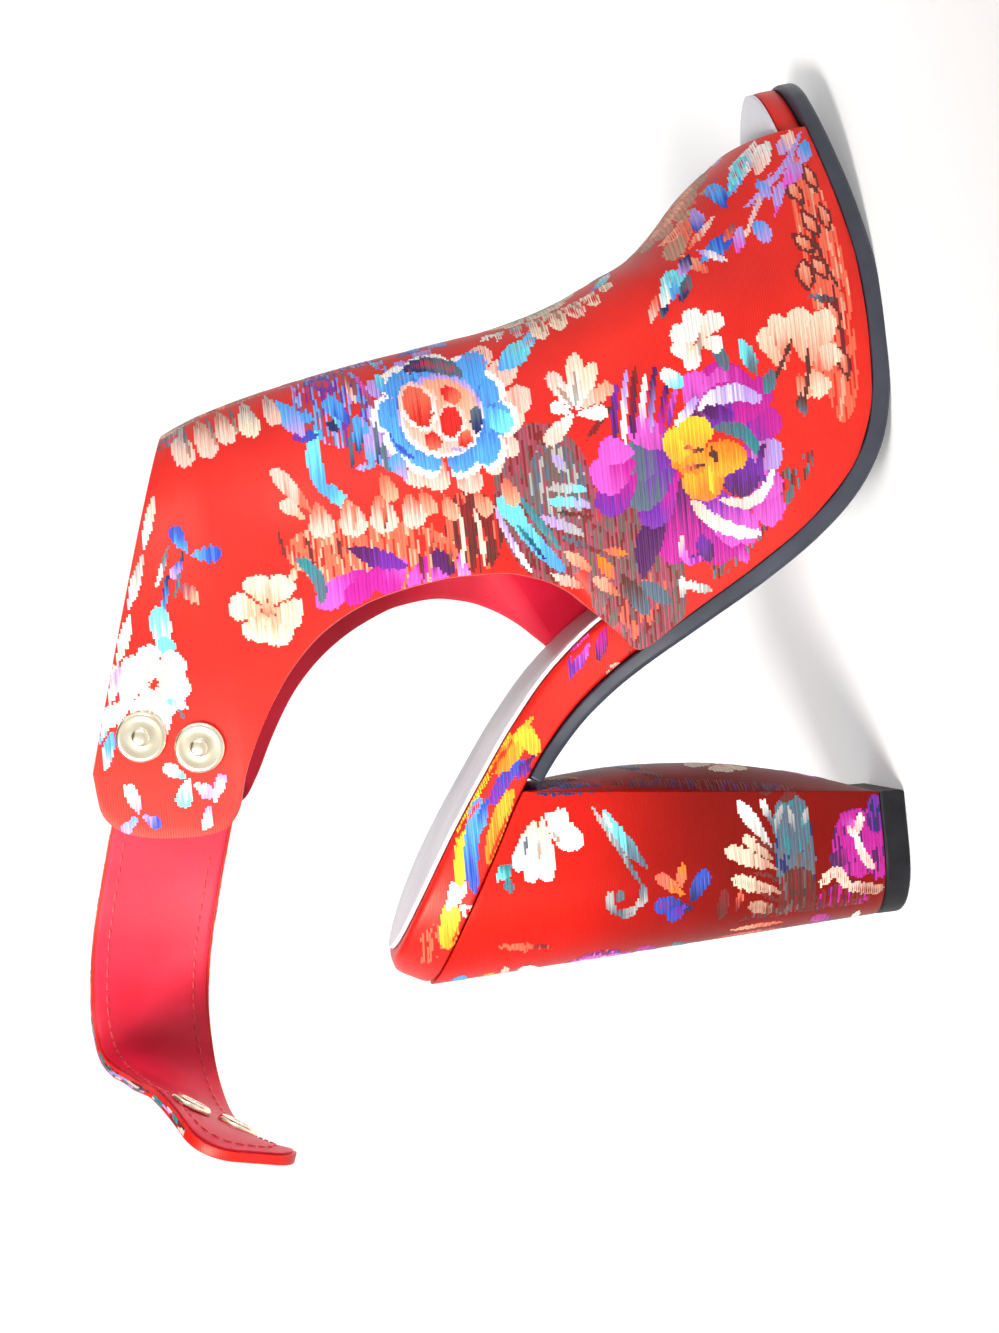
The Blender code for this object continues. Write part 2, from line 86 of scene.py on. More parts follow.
FOOTBED = np.array([
    # x      z      insole  outsole  centre  half width
    (3.5, 124.8, 11.0, 3.0, 0.0, 26.5),
    (20.0, 116.4, 11.0, 3.0, 0.0, 26.5),
    (36.0, 107.0, 10.5, 3.0, -0.2, 26.0),
    (47.0, 99.7, 9.3, 3.0, -0.6, 25.4),
    (59.0, 91.2, 9.0, 3.2, -1.2, 24.8),
    (72.0, 79.8, 9.8, 3.4, -1.8, 24.8),
    (81.3, 68.2, 10.4, 3.6, -2.2, 25.6),
    (89.5, 53.4, 9.8, 3.8, -2.3, 27.6),
    (97.0, 39.0, 8.8, 4.0, -2.2, 30.0),
    (103.5, 27.8, 7.8, 4.1, -1.9, 32.2),
    (110.0, 19.2, 6.8, 4.2, -1.5, 34.0),
    (117.5, 13.2, 6.0, 4.2, -1.0, 35.6),
    (127.0, 10.2, 5.5, 4.2, -0.5, 36.8),
    (140.0, 9.6, 5.5, 4.2, 0.0, 37.2),
    (154.0, 9.9, 5.5, 4.2, 0.6, 37.2),
    (168.0, 11.6, 5.4, 4.1, 1.4, 37.2),
    (182.0, 13.8, 5.2, 4.0, 2.2, 37.2),
    (194.0, 15.4, 5.0, 3.8, 3.1, 37.2),
    (205.0, 16.6, 4.8, 3.6, 4.0, 37.2),
])
FOOTBED_COLUMN = dict(z=1, insole=2, outsole=3, centre=4, half=5)
HEEL_END, TOE_END = 3.5, 205.0
HEEL_ROUNDING, TOE_ROUNDING = 27.0, 72.0  # lengths over which the outline closes at its two ends
HEEL_FULLNESS, TOE_FULLNESS = 2.3, 1.9  # powers of the two end curves: 2 is an ellipse
SLOPE_STEP = 0.2
MOST_STRETCH = 1.6


def footbed(name, x):
    return smooth(FOOTBED[:, 0], FOOTBED[:, FOOTBED_COLUMN[name]], x)


def half_width(x):
    """Half width of the sole's outline, rounded off at the heel and the toe."""
    heel = np.sqrt(1 - np.clip(1 - (x - HEEL_END) / HEEL_ROUNDING, 0, 1) ** HEEL_FULLNESS)
    toe = np.sqrt(1 - np.clip(1 - (TOE_END - x) / TOE_ROUNDING, 0, 1) ** TOE_FULLNESS)
    return footbed("half", x) * heel * toe


def slope_of(curve, x):
    return (curve(x + SLOPE_STEP) - curve(x - SLOPE_STEP)) / (2 * SLOPE_STEP)


def under_footbed(x, depth):
    """Side view points at a depth below the footbed's top, square to it."""
    rise = slope_of(lambda place: footbed("z", place), x)
    length = np.hypot(rise, 1.0)
    return x + depth * rise / length, footbed("z", x) - depth / length


def outline_stretch(x):
    """How much a gap square to the outline grows when it is measured across the sole."""
    return np.minimum(np.hypot(slope_of(half_width, x), 1.0), MOST_STRETCH)


print("footbed:", len(FOOTBED), "rows, ball", round(2 * float(half_width(140.0))), "mm wide")

# %% [markdown]
# ## Cloth pulled over the last
#
# A cloth part is cut flat and pulled over a form. A mesh can be made the same way: a flat grid is added, and
# every point (u, v) of it is moved to a place on the form. The grid keeps its even faces and its UV map,
# which a mesh built face by face wouldn't have. Where the form closes on itself, the edges that meet are
# merged.

# %% Helpers for the pieces
MERGE_WITHIN = 0.005  # millimetres


def sheet_over(name, form, across, along, core):
    """A grid of faces pulled over form(u, v), in millimetres, with its faces turned away from the core."""
    bpy.ops.object.select_all(action="DESELECT")
    bpy.ops.mesh.primitive_grid_add(x_subdivisions=across, y_subdivisions=along, size=1)
    piece = bpy.context.object
    piece.name = piece.data.name = name
    flat = np.empty(len(piece.data.vertices) * 3)
    piece.data.vertices.foreach_get("co", flat)
    u, v = flat.reshape(-1, 3)[:, :2].T + 0.5
    piece.data.vertices.foreach_set("co", in_frame(form(u, v)).ravel())
    bpy.ops.object.mode_set(mode="EDIT")
    bpy.ops.mesh.select_all(action="SELECT")
    bpy.ops.mesh.remove_doubles(threshold=MERGE_WITHIN * MM)
    bpy.ops.mesh.normals_make_consistent(inside=False)
    bpy.ops.object.mode_set(mode="OBJECT")
    middle = Vector(in_frame(core))
    outward = sum((face.center - middle).dot(face.normal) * face.area for face in piece.data.polygons)
    if outward < 0:
        bpy.ops.object.mode_set(mode="EDIT")
        bpy.ops.mesh.flip_normals()
        bpy.ops.object.mode_set(mode="OBJECT")
    bpy.ops.object.shade_smooth()
    return piece


def apply_modifier(piece, kind, **settings):
    modifier = piece.modifiers.new(kind.lower(), kind)
    for name, value in settings.items():
        setattr(modifier, name, value)
    bpy.context.view_layer.objects.active = piece
    bpy.ops.object.modifier_apply(modifier=modifier.name)


def round_edges(piece, width, segments, angle=50):
    """Rounds the edges that are sharper than an angle in degrees, over a width in millimetres."""
    apply_modifier(
        piece, "BEVEL", width=width * MM, segments=segments, limit_method="ANGLE",
        angle_limit=math.radians(angle),
    )


def close_ends(piece):
    """Fills the open ends of a tube."""
    bpy.context.view_layer.objects.active = piece
    bpy.ops.object.mode_set(mode="EDIT")
    bpy.ops.mesh.select_all(action="SELECT")
    bpy.ops.mesh.fill_holes(sides=0)
    bpy.ops.mesh.normals_make_consistent(inside=False)
    bpy.ops.object.mode_set(mode="OBJECT")


def seat(piece, slot, *nodes):
    """The piece rides with the shoe and stands for its solids. The slot is not used."""
    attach(piece, "root")
    if nodes:
        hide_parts(*nodes)
    triangles = sum(len(face.vertices) - 2 for face in piece.data.polygons)
    print(f"{piece.name}: {triangles} triangles")


print("points closer than", MERGE_WITHIN, "mm are merged")

# %% [markdown]
# ## Finishes
#
# Brocade is a satin ground with coloured weft threads that float on top of it to draw flowers. The ground is
# one material: a bright red with slow changes of tone, a fine rib from its threads and a soft sheen. On the
# heel a copy of it gets painted shade, darker towards the floor. The flowers are another: their colour is
# read from an attribute that each float carries, so one material serves every thread. The linings and the
# sock have the fine grain of thin leather, and the lining inside the upper is a copy with painted shade, a
# little darker and darker still towards the collar. Pictures could be wrapped on instead, but they blur close
# up.
# These patterns are worked out from Object coordinates, so they have a real size.

# %% Material helpers
TONE_SPAN = (0.32, 0.68)  # values of the noise that give the two end colours
MIX_SHARE, MIX_COLOR, MIX_PATTERN, MIX_RESULT = 0, 6, 7, 2  # colour sockets of a Mix node


def new_material(name, color, roughness, **sockets):
    """A material, its node tree and its shader. More sockets are set by name, with _ for a space."""
    material = bpy.data.materials.new(name)
    material.use_nodes = True
    shader = material.node_tree.nodes["Principled BSDF"]
    shader.inputs["Base Color"].default_value = (*color, 1.0)
    shader.inputs["Roughness"].default_value = roughness
    for socket, value in sockets.items():
        shader.inputs[socket.replace("_", " ")].default_value = value
    return material, material.node_tree, shader


def add_node(tree, kind, **values):
    """A new node. Each value goes to the socket of its name, or else to the node's own setting."""
    node = tree.nodes.new(kind)
    for name, value in values.items():
        socket = node.inputs.get(name.replace("_", " "))
        if socket is not None:
            socket.default_value = value
        else:
            setattr(node, name, value)
    return node


def placed_node(tree, kind, **values):
    """A new node that is fed with Object coordinates."""
    node = add_node(tree, kind, **values)
    place = add_node(tree, "ShaderNodeTexCoord")
    tree.links.new(place.outputs["Object"], node.inputs["Vector"])
    return node


def threads(tree, axis, period, wander):
    """Even thread lines, a period apart in millimetres, that wander a little."""
    wave = placed_node(
        tree, "ShaderNodeTexWave", wave_type="BANDS", bands_direction=axis,
        Scale=math.pi / 10 / (period * MM), Distortion=wander, Detail=2.0, Detail_Scale=1.5,
    )
    return wave.outputs["Fac"]


def tone(tree, scale, low, high):
    """Slow changes of tone: a colour between low and high, by a noise of the given scale."""
    noise = placed_node(tree, "ShaderNodeTexNoise", Scale=scale, Detail=3.0, Roughness=0.55)
    ramp = add_node(tree, "ShaderNodeValToRGB")
    for element, position, color in zip(ramp.color_ramp.elements, TONE_SPAN, (low, high)):
        element.position = position
        element.color = (*color, 1.0)
    tree.links.new(noise.outputs["Fac"], ramp.inputs["Fac"])
    return ramp.outputs["Color"]


def darken(tree, color, by, share):
    """The colour, darker by a share where the pattern is low."""
    mix = add_node(tree, "ShaderNodeMix", data_type="RGBA", blend_type="MULTIPLY")
    mix.inputs[MIX_SHARE].default_value = share
    tree.links.new(color, mix.inputs[MIX_COLOR])
    tree.links.new(by, mix.inputs[MIX_PATTERN])
    return mix.outputs[MIX_RESULT]


def rising(tree, heights, least):
    """A value that goes from least to one between two heights, in metres. The second may be the lower one."""
    split = placed_node(tree, "ShaderNodeSeparateXYZ")
    rise = add_node(
        tree, "ShaderNodeMapRange", interpolation_type="SMOOTHSTEP",
        From_Min=heights[0], From_Max=heights[1], To_Min=least, To_Max=1.0,
    )
    tree.links.new(split.outputs["Z"], rise.inputs["Value"])
    return rise.outputs["Result"]


def relief(tree, shader, height, depth, strength):
    """A bump that follows a pattern, with a depth in millimetres."""
    bump = add_node(tree, "ShaderNodeBump", Distance=depth * MM, Strength=strength)
    tree.links.new(height, bump.inputs["Height"])
    tree.links.new(bump.outputs["Normal"], shader.inputs["Normal"])


print("tones run between", TONE_SPAN, "of their noise")

# %% Satin ground and flower thread
HEEL_PAINTED_SHADE_HEIGHTS = (0.040, 0.105)  # heights in metres, from the heel's darkest painted shade to its full tone


def satin_ground(name, shine, foot):
    """The red satin. Its foot is the part of its tone left near the floor, by painted shade that grows
    downwards.
    """
    material, tree, shader = new_material(
        name, (0.62, 0.016, 0.007), 0.44, IOR=shine, Specular_Tint=(1.0, 0.86, 0.72, 1.0),
    )
    rib = threads(tree, "Z", 0.55, 1.2)
    color = darken(tree, tone(tree, 30.0, (0.46, 0.004, 0.003), (0.62, 0.010, 0.005)), rib, 0.16)
    # Below a foot of one, the colour gets painted shade that grows towards the floor.
    if foot < 1:
        color = darken(tree, color, rising(tree, HEEL_PAINTED_SHADE_HEIGHTS, foot), 1.0)
    tree.links.new(color, shader.inputs["Base Color"])
    relief(tree, shader, rib, 0.06, 0.35)
    return material


satin = satin_ground("red_satin_ground", 1.42, 1.0)
# The heel's satin carries painted shade, darker towards the floor.
heel_satin_with_painted_shade = satin_ground("red_satin_with_painted_shade_on_the_heel", 1.24, 0.30)

flower_thread, tree, shader = new_material(
    "flower_thread", (0.8, 0.5, 0.5), 0.42, IOR=1.3, Specular_IOR_Level=0.5,
)
tint = add_node(tree, "ShaderNodeAttribute", attribute_name="tint")
rib = threads(tree, "Z", 0.9, 2.2)
color = darken(tree, tint.outputs["Color"], rib, 0.22)
tree.links.new(color, shader.inputs["Base Color"])
relief(tree, shader, rib, 0.10, 0.5)
print("cloth:", ", ".join(material.name for material in (satin, heel_satin_with_painted_shade, flower_thread)))

# %% Linings, sole, metal and stitches
LINING_PAINTED_SHADE_HEIGHTS = (0.155, 0.085)  # heights in metres, from the upper lining's darkest painted shade to its full tone
LINING_GRAIN, SOCK_GRAIN = 1500.0, 1100.0  # cells in a metre


def toned(name, color, roughness, scale, low, high, **sockets):
    """A material whose tone changes slowly between two colours."""
    material, tree, shader = new_material(name, color, roughness, **sockets)
    tree.links.new(tone(tree, scale, low, high), shader.inputs["Base Color"])
    return material, tree, shader


def leather_grain(tree, shader, scale, strength):
    grain = placed_node(tree, "ShaderNodeTexVoronoi", Scale=scale)
    relief(tree, shader, grain.outputs["Distance"], 0.05, strength)


crimson, tree, shader = toned(
    "crimson_lining", (0.55, 0.012, 0.04), 0.44, 60.0, (0.46, 0.007, 0.026), (0.56, 0.014, 0.042), IOR=1.36,
)
leather_grain(tree, shader, LINING_GRAIN, 0.25)

# The lining inside the upper is a copy of the crimson lining with painted shade: a little darker, and darker
# still towards the collar.
crimson_with_painted_shade, tree, shader = new_material("crimson_lining_with_painted_shade", (0.46, 0.008, 0.028), 0.48, IOR=1.2)
color = tone(tree, 60.0, (0.40, 0.005, 0.020), (0.52, 0.010, 0.034))
color = darken(tree, color, rising(tree, LINING_PAINTED_SHADE_HEIGHTS, 0.42), 1.0)
tree.links.new(color, shader.inputs["Base Color"])
leather_grain(tree, shader, LINING_GRAIN, 0.25)

white_sock, tree, shader = toned(
    "white_sock", (0.60, 0.61, 0.66), 0.42, 45.0, (0.54, 0.55, 0.61), (0.66, 0.67, 0.71), IOR=1.4,
)
leather_grain(tree, shader, SOCK_GRAIN, 0.3)

navy_sole, tree, shader = toned(
    "navy_sole", (0.022, 0.027, 0.045), 0.42, 55.0, (0.016, 0.019, 0.032), (0.034, 0.040, 0.060),
    Specular_IOR_Level=0.45,
)
pebble = placed_node(tree, "ShaderNodeTexNoise", Scale=420.0, Detail=4.0)
relief(tree, shader, pebble.outputs["Fac"], 0.08, 0.35)

black_rubber = toned(
    "black_top_piece", (0.006, 0.006, 0.008), 0.55, 160.0, (0.004, 0.004, 0.006), (0.011, 0.011, 0.014),
    IOR=1.3,
)[0]
pale_gold = toned(
    "pale_gold", (0.90, 0.82, 0.62), 0.22, 300.0, (0.86, 0.76, 0.54), (0.94, 0.88, 0.70), Metallic=1.0,
)[0]

red_thread, tree, shader = new_material("red_stitch_thread", (0.62, 0.02, 0.03), 0.55, Sheen_Weight=0.2)
twist = threads(tree, "X", 0.35, 1.5)
color = darken(tree, tone(tree, 200.0, (0.52, 0.012, 0.02), (0.66, 0.03, 0.04)), twist, 0.3)
tree.links.new(color, shader.inputs["Base Color"])
relief(tree, shader, twist, 0.06, 0.4)
other_finishes = (crimson, crimson_with_painted_shade, white_sock, navy_sole, black_rubber, pale_gold, red_thread)
print("other finishes:", ", ".join(material.name for material in other_finishes))

# %% [markdown]
# ## Camera, light and floor
#
# The photograph was taken from the shoe's outer side, a little above, with the toe towards the top of the
# picture. The shoe could be laid on its side for that. Here it stands on a floor, and the camera is rolled by
# a quarter turn and a little more instead. The floor is a plain pale plane whose edges are pulled up and
# rounded, so it sweeps up all round and no horizon shows. The key light is narrow and comes from above and
# behind the heel, two weak narrow lights pick out the tab and the strap, wide ones fill the shade, and one
# makes the sweep behind the shoe nearly white. The Standard view keeps the colours as they are given.

# %% Camera
CAMERA_PLACE = (74.8, -591.7, 147.5)
CAMERA_AIM = (72.2, 0.0, 91.1)
CAMERA_ROLL = math.radians(-95.4)
CAMERA_LENS = 67.0

bpy.ops.object.camera_add()
camera = bpy.context.object
camera.name = "photo_camera"
look = Vector(CAMERA_AIM) - Vector(CAMERA_PLACE)
camera.location = in_frame(CAMERA_PLACE)
camera.rotation_mode = "QUATERNION"
camera.rotation_quaternion = look.to_track_quat("-Z", "Y") @ Quaternion((0, 0, 1), CAMERA_ROLL)
camera.data.lens = CAMERA_LENS
camera.data.sensor_width = 36.0
camera.data.clip_start = 0.01
bpy.context.scene.camera = camera
bpy.context.scene.view_settings.view_transform = "Standard"
print("camera", round(look.length), "mm from its aim")

# %% Floor
FLOOR_SIZE, SWEEP_RADIUS = 5.0, 0.9  # metres

bpy.ops.object.select_all(action="DESELECT")
bpy.ops.mesh.primitive_plane_add(size=FLOOR_SIZE)
floor = bpy.context.object
floor.name = "pale_floor"
bpy.ops.object.mode_set(mode="EDIT")
bpy.ops.mesh.select_mode(type="EDGE")
bpy.ops.mesh.select_all(action="DESELECT")
bpy.ops.object.mode_set(mode="OBJECT")
for edge in floor.data.edges:
    edge.select = True
bpy.ops.object.mode_set(mode="EDIT")
bpy.ops.mesh.extrude_edges_move(TRANSFORM_OT_translate={"value": (0, 0, FLOOR_SIZE / 2)})
bpy.ops.object.mode_set(mode="OBJECT")
apply_modifier(floor, "BEVEL", width=SWEEP_RADIUS, segments=24, limit_method="ANGLE")
bpy.ops.object.shade_smooth()
floor_paint = new_material(
    "pale_floor_paint", (0.90, 0.90, 0.90), 0.7, Specular_IOR_Level=0.1, Emission_Color=(1.0, 1.0, 1.0, 1.0),
    Emission_Strength=0.24,
)[0]
floor.data.materials.append(floor_paint)
print("floor", FLOOR_SIZE, "m wide")

# %% Lights
LIGHTS = [
    # name          place in metres       aim                    size  power  spread  color
    ("key_light", (-0.42, -0.72, 0.70), (-0.07, -0.02, 0.20), 0.40, 1.05, 34, (1.0, 0.97, 0.93)),
    ("tab_light", (-0.40, -0.82, 0.30), (-0.03, -0.02, 0.165), 0.22, 0.12, 18, (1.0, 0.95, 0.88)),
    ("strap_light", (0.70, -0.70, 0.10), (-0.10, -0.01, 0.172), 0.15, 0.07, 14, (1.0, 0.96, 0.92)),
    ("toe_fill", (1.0, -0.6, 0.6), (0.0, 0.0, 0.09), 0.8, 1.2, 180, (1.0, 0.97, 0.95)),
    ("back_fill", (-0.7, 0.8, 0.8), (0.0, 0.0, 0.09), 1.0, 1.5, 180, (0.96, 0.98, 1.0)),
    ("wall_light", (0.0, 1.1, 1.3), (0.0, 2.3, 0.1), 1.6, 14.0, 180, (1.0, 1.0, 1.0)),
]
AIR_LIGHT = 0.12

for name, place, aim, size, power, spread, light_color in LIGHTS:
    bpy.ops.object.light_add(type="AREA", location=place)
    light = bpy.context.object
    light.name = name
    light.data.size = size
    light.data.energy = power
    light.data.spread = math.radians(spread)
    light.data.color = light_color
    light.rotation_mode = "QUATERNION"
    light.rotation_quaternion = (Vector(aim) - Vector(place)).to_track_quat("-Z", "Y")

world = bpy.data.worlds.new("studio_air")
world.use_nodes = True
air = world.node_tree.nodes["Background"]
air.inputs["Color"].default_value = (1.0, 1.0, 1.0, 1.0)
air.inputs["Strength"].default_value = AIR_LIGHT
bpy.context.scene.world = world
print("lights:", len(LIGHTS))

# %% [markdown]
# ## Sole pieces
#
# The insole is a board whose edge is wrapped in the brocade, and that edge shows all round the open heel.
# The sock is a thin white sheet on top of it. The outsole is a thin dark sole, glued underneath. Each of them
# is a flat section, swept from heel to toe, that gets wider and narrower and bends with the foot. A curve
# with a bevel object could sweep a section, but it would scale the rounded edges with the width. So a grid is
# wrapped round the sweep: u goes round the section and v goes from heel to toe.

# %% A section swept along the footbed
EDGE_STEPS = 6  # points on each rounded edge
FLAT_STEPS = 4  # points between the edges, above and below
RING_POINTS = 4 * EDGE_STEPS + 2 * FLAT_STEPS
EVEN_PART, ROUND_PART = 0.35, 0.65  # parts of a step that is even, and that gets short at both ends


def form_of_rings(ring_at, count):
    """A form whose u goes round closed rings of count points, and whose v goes from ring to ring."""

    def form(u, v):
        points = np.empty((len(u), 3))
        for share in np.unique(v.round(6)):
            here = np.isclose(v, share, atol=1e-5)
            points[here] = ring_at(share)[np.rint(u[here] * count).astype(int) % count]
        return points

    return form


def along_sole(start, share):
    """The place along the footbed, with short steps where the ends are rounded."""
    turn = (1 - math.cos(math.pi * share)) / 2
    return start + (TOE_END - start) * (EVEN_PART * share + ROUND_PART * turn)


def sole_ring(x, reach, top, bottom, top_radius, bottom_radius, lowest=None):
    """A closed section across the sole with rounded edges. Top and bottom are depths under the footbed."""
    turn = np.linspace(0, math.pi / 2, EDGE_STEPS)
    inset = np.concatenate([top_radius * (1 - np.sin(turn)), bottom_radius * (1 - np.cos(turn))])
    upper_edge = top + top_radius * (1 - np.cos(turn))
    lower_edge = bottom - bottom_radius * (1 - np.sin(turn))
    edge = np.concatenate([upper_edge, lower_edge])
    side = np.maximum(reach - inset, 0.0)
    flat = np.linspace(-1, 1, FLAT_STEPS + 2)[1:-1]
    across = np.concatenate([-side, flat * side[-1], side[::-1], -flat * side[0]])
    depth = np.concatenate([edge, np.full(FLAT_STEPS, bottom), edge[::-1], np.full(FLAT_STEPS, top)])
    along, height = under_footbed(x, depth)
    if lowest is not None:
        height = np.maximum(height, lowest)
    return np.stack([along, footbed("centre", x) + across, height], axis=1)


print("section of the sole:", RING_POINTS, "points")

# %% Insole, sock and outsole
SOLE_CORE = (60.0, 0.0, 80.0)
RAND_TURN = 4.5  # length of the back end over which the wrapped edge turns
RAND_DROP, RAND_LIFT = 4.0, 1.8  # how far its top and its bottom turn in there
RAND_TOP_RADIUS, RAND_BOTTOM_RADIUS = 2.0, 1.0
SOCK_BACK, SOCK_MARGIN = 4.0, 1.2  # from the insole's back end and from its sides
SOCK_END = 25.0  # length at the back over which the sock's margin grows
SOCK_TOP, SOCK_BOTTOM = -1.2, -0.25  # depths under the footbed, so they are above it
SOCK_TOP_RADIUS, SOCK_BOTTOM_RADIUS = 0.45, 0.2
GLUE = 0.3
OUTSOLE_START = 51.6
OUTSOLE_WIDENS, OUTSOLE_WIDE = 60.0, 26.0  # where it begins to widen under the upper, and over which length
OUTSOLE_REACH = 2.9  # beyond the insole's edge
OUTSOLE_TOP_RADIUS, OUTSOLE_BOTTOM_RADIUS = 0.4, 1.2


def insole_ring(share):
    x = along_sole(HEEL_END, share)
    end = 1 - np.clip((x - HEEL_END) / RAND_TURN, 0, 1)
    turn = 1 - np.sqrt(1 - end**2)
    top, bottom = RAND_DROP * turn, footbed("insole", x) - RAND_LIFT * turn
    return sole_ring(x, half_width(x), top, bottom, RAND_TOP_RADIUS + end, RAND_BOTTOM_RADIUS + end)


def sock_ring(share):
    x = along_sole(HEEL_END + SOCK_BACK, share)
    near_end = np.clip(1 - (x - HEEL_END - SOCK_BACK) / SOCK_END, 0, 1)
    reach = half_width(x - SOCK_BACK * near_end) - SOCK_MARGIN - near_end
    return sole_ring(x, reach, SOCK_TOP, SOCK_BOTTOM, SOCK_TOP_RADIUS, SOCK_BOTTOM_RADIUS)


def outsole_ring(share):
    x = along_sole(OUTSOLE_START, share)
    under_upper = np.clip((x - OUTSOLE_WIDENS) / OUTSOLE_WIDE, 0, 1)
    reach = half_width(x) + OUTSOLE_REACH * outline_stretch(x) * under_upper
    top = footbed("insole", x) + GLUE
    bottom = top + footbed("outsole", x)
    return sole_ring(x, reach, top, bottom, OUTSOLE_TOP_RADIUS, OUTSOLE_BOTTOM_RADIUS, lowest=0.0)


def sole_sheet(name, ring_at, along, material):
    piece = sheet_over(name, form_of_rings(ring_at, RING_POINTS), RING_POINTS, along, SOLE_CORE)
    piece.data.materials.append(material)
    return piece


insole = sole_sheet("insole_rand", insole_ring, 150, satin)
seat(insole, "red_brocade", "insole")
sock = sole_sheet("white_sock", sock_ring, 120, white_sock)
seat(sock, "white_sock", "sock_lining")
outsole = sole_sheet("dark_outsole", outsole_ring, 130, navy_sole)
close_ends(outsole)
seat(outsole, "navy_sole", "outsole")

# %% [markdown]
# ## Upper
#
# The upper is one skin over the last. Its rows start at the peep toe and fan out round the instep up to the
# collar; each row runs from the outer edge over the ridge to the inner edge. The first rows stand on the
# sole, and the others end at the cut edge of the open back. A Solidify modifier then makes it a wall of two
# millimetres: the inside gets the crimson lining with painted shade, darker towards the collar, and the
# brocade folds round the edge. The soft creases where the cloth gives could be sculpted, but a short list of
# shallow troughs is easier to change.

# %% Rows of the upper
VAMP_ROWS = [
    # outer  inner  ridge x  ridge z  ridge y  fullness  swell
    (190.5, 190.5, 189.5, 26.5, 2.8, 2.2, 0.050),
    (181.0, 181.0, 180.5, 37.6, 2.0, 2.2, 0.045),
    (169.0, 168.5, 171.5, 45.6, 1.4, 2.2, 0.035),
    (155.0, 154.0, 165.2, 52.8, 0.9, 2.2, 0.025),
    (141.0, 139.5, 161.2, 61.5, 0.5, 2.3, 0.020),
    (128.5, 126.5, 157.6, 69.5, 0.2, 2.4, 0.020),
    (117.0, 114.5, 154.8, 77.5, 0.0, 2.5, 0.020),
    (106.5, 103.5, 152.6, 85.8, 0.0, 2.6, 0.025),
    (97.5, 93.5, 151.1, 94.0, 0.0, 2.7, 0.030),
    (89.5, 84.5, 149.9, 101.5, 0.0, 2.8, 0.035),
    (82.0, 76.0, 148.8, 108.5, 0.0, 2.9, 0.040),
]
QUARTER_ROWS = [
    # outer x  z  cut  half  inner x  z  cut  half  ridge x  ridge z  fullness  swell
    (77.2, 66.0, 0.064, 30.4, 71.5, 71.8, 0.051, 25.9, 148.3, 111.8, 2.90, 0.050),
    (82.5, 71.2, 0.144, 30.3, 76.5, 76.6, 0.126, 26.2, 147.8, 114.8, 3.00, 0.060),
    (87.6, 76.4, 0.219, 30.2, 81.6, 81.8, 0.201, 26.5, 147.2, 117.9, 3.10, 0.075),
    (91.3, 83.2, 0.290, 30.1, 86.0, 88.0, 0.278, 26.9, 146.6, 121.2, 3.20, 0.090),
    (93.4, 92.0, 0.358, 30.0, 89.2, 95.2, 0.345, 27.3, 145.9, 124.8, 3.35, 0.105),
    (93.5, 101.0, 0.417, 29.8, 90.6, 103.4, 0.402, 27.8, 145.1, 128.8, 3.55, 0.120),
    (92.4, 110.8, 0.472, 29.6, 89.6, 112.2, 0.444, 28.2, 144.2, 133.2, 3.75, 0.132),
    (89.8, 121.6, 0.515, 29.5, 86.2, 121.2, 0.483, 28.5, 143.2, 137.8, 3.95, 0.142),
    (84.6, 132.0, 0.525, 29.4, 80.4, 130.6, 0.490, 28.8, 142.1, 142.4, 4.15, 0.148),
    (76.0, 141.0, 0.497, 29.3, 71.6, 139.4, 0.462, 28.9, 140.9, 146.9, 4.30, 0.150),
    (64.4, 148.4, 0.433, 29.2, 60.4, 146.4, 0.402, 29.0, 139.7, 151.2, 4.40, 0.148),
    (53.5, 153.4, 0.361, 29.1, 50.5, 151.4, 0.338, 29.0, 138.6, 154.8, 4.40, 0.142),
    (45.0, 156.0, 0.293, 29.0, 45.2, 155.0, 0.295, 29.0, 137.8, 157.2, 4.35, 0.136),
    (41.6, 159.6, 0.257, 29.0, 43.2, 159.0, 0.270, 29.0, 137.1, 159.0, 4.30, 0.130),
    (40.7, 166.0, 0.234, 29.0, 42.8, 166.0, 0.251, 29.0, 136.4, 160.7, 4.25, 0.126),
    (41.2, 174.0, 0.219, 29.0, 42.8, 174.0, 0.232, 29.0, 135.7, 162.3, 4.20, 0.123),
    (43.2, 181.5, 0.223, 29.0, 43.0, 181.0, 0.221, 29.0, 135.0, 163.8, 4.15, 0.121),
    (48.4, 186.2, 0.258, 29.0, 43.8, 186.4, 0.220, 29.0, 134.4, 165.0, 4.10, 0.120),
    (57.0, 187.2, 0.333, 29.0, 46.5, 188.8, 0.242, 29.0, 133.9, 166.0, 4.10, 0.120),
]
WALL = 2.0
WALL_REACH = 2.5  # outside of the wall beyond the insole's edge
WALL_FOOT = 0.1  # foot of the wall under the insole
RIDGE_COLUMNS, OUTER_COLUMNS, INNER_COLUMNS = (0, 1, 2), (3, 4, 5, 6), (7, 8, 9, 10)
FULLNESS_COLUMN, SWELL_COLUMN = 11, 12


def upper_rows():
    """Every row: ridge x, y, z, then x, z, cut and half width of each side, fullness and swell."""
    rows = []
    for outer, inner, ridge_x, ridge_z, ridge_y, fullness, swell in VAMP_ROWS:
        sides = []
        for side, x in ((-1, outer), (1, inner)):
            along, height = under_footbed(x, footbed("insole", x) + WALL_FOOT)
            edge = footbed("centre", x) + side * (half_width(x) + WALL_REACH * outline_stretch(x))
            sides += [along, height, 0.0, abs(edge - ridge_y)]
        rows.append([ridge_x, ridge_y, ridge_z, *sides, fullness, swell])
    for *sides, ridge_x, ridge_z, fullness, swell in QUARTER_ROWS:
        rows.append([ridge_x, 0.0, ridge_z, *sides, fullness, swell])
    rows = np.array(rows)
    for half in (OUTER_COLUMNS[-1], INNER_COLUMNS[-1]):  # the waist's bend, eased over a few rows
        for _ in range(2):
            rows[8:14, half] = (rows[7:13, half] + 2 * rows[8:14, half] + rows[9:15, half]) / 4
    return rows


UPPER_ROWS = upper_rows()


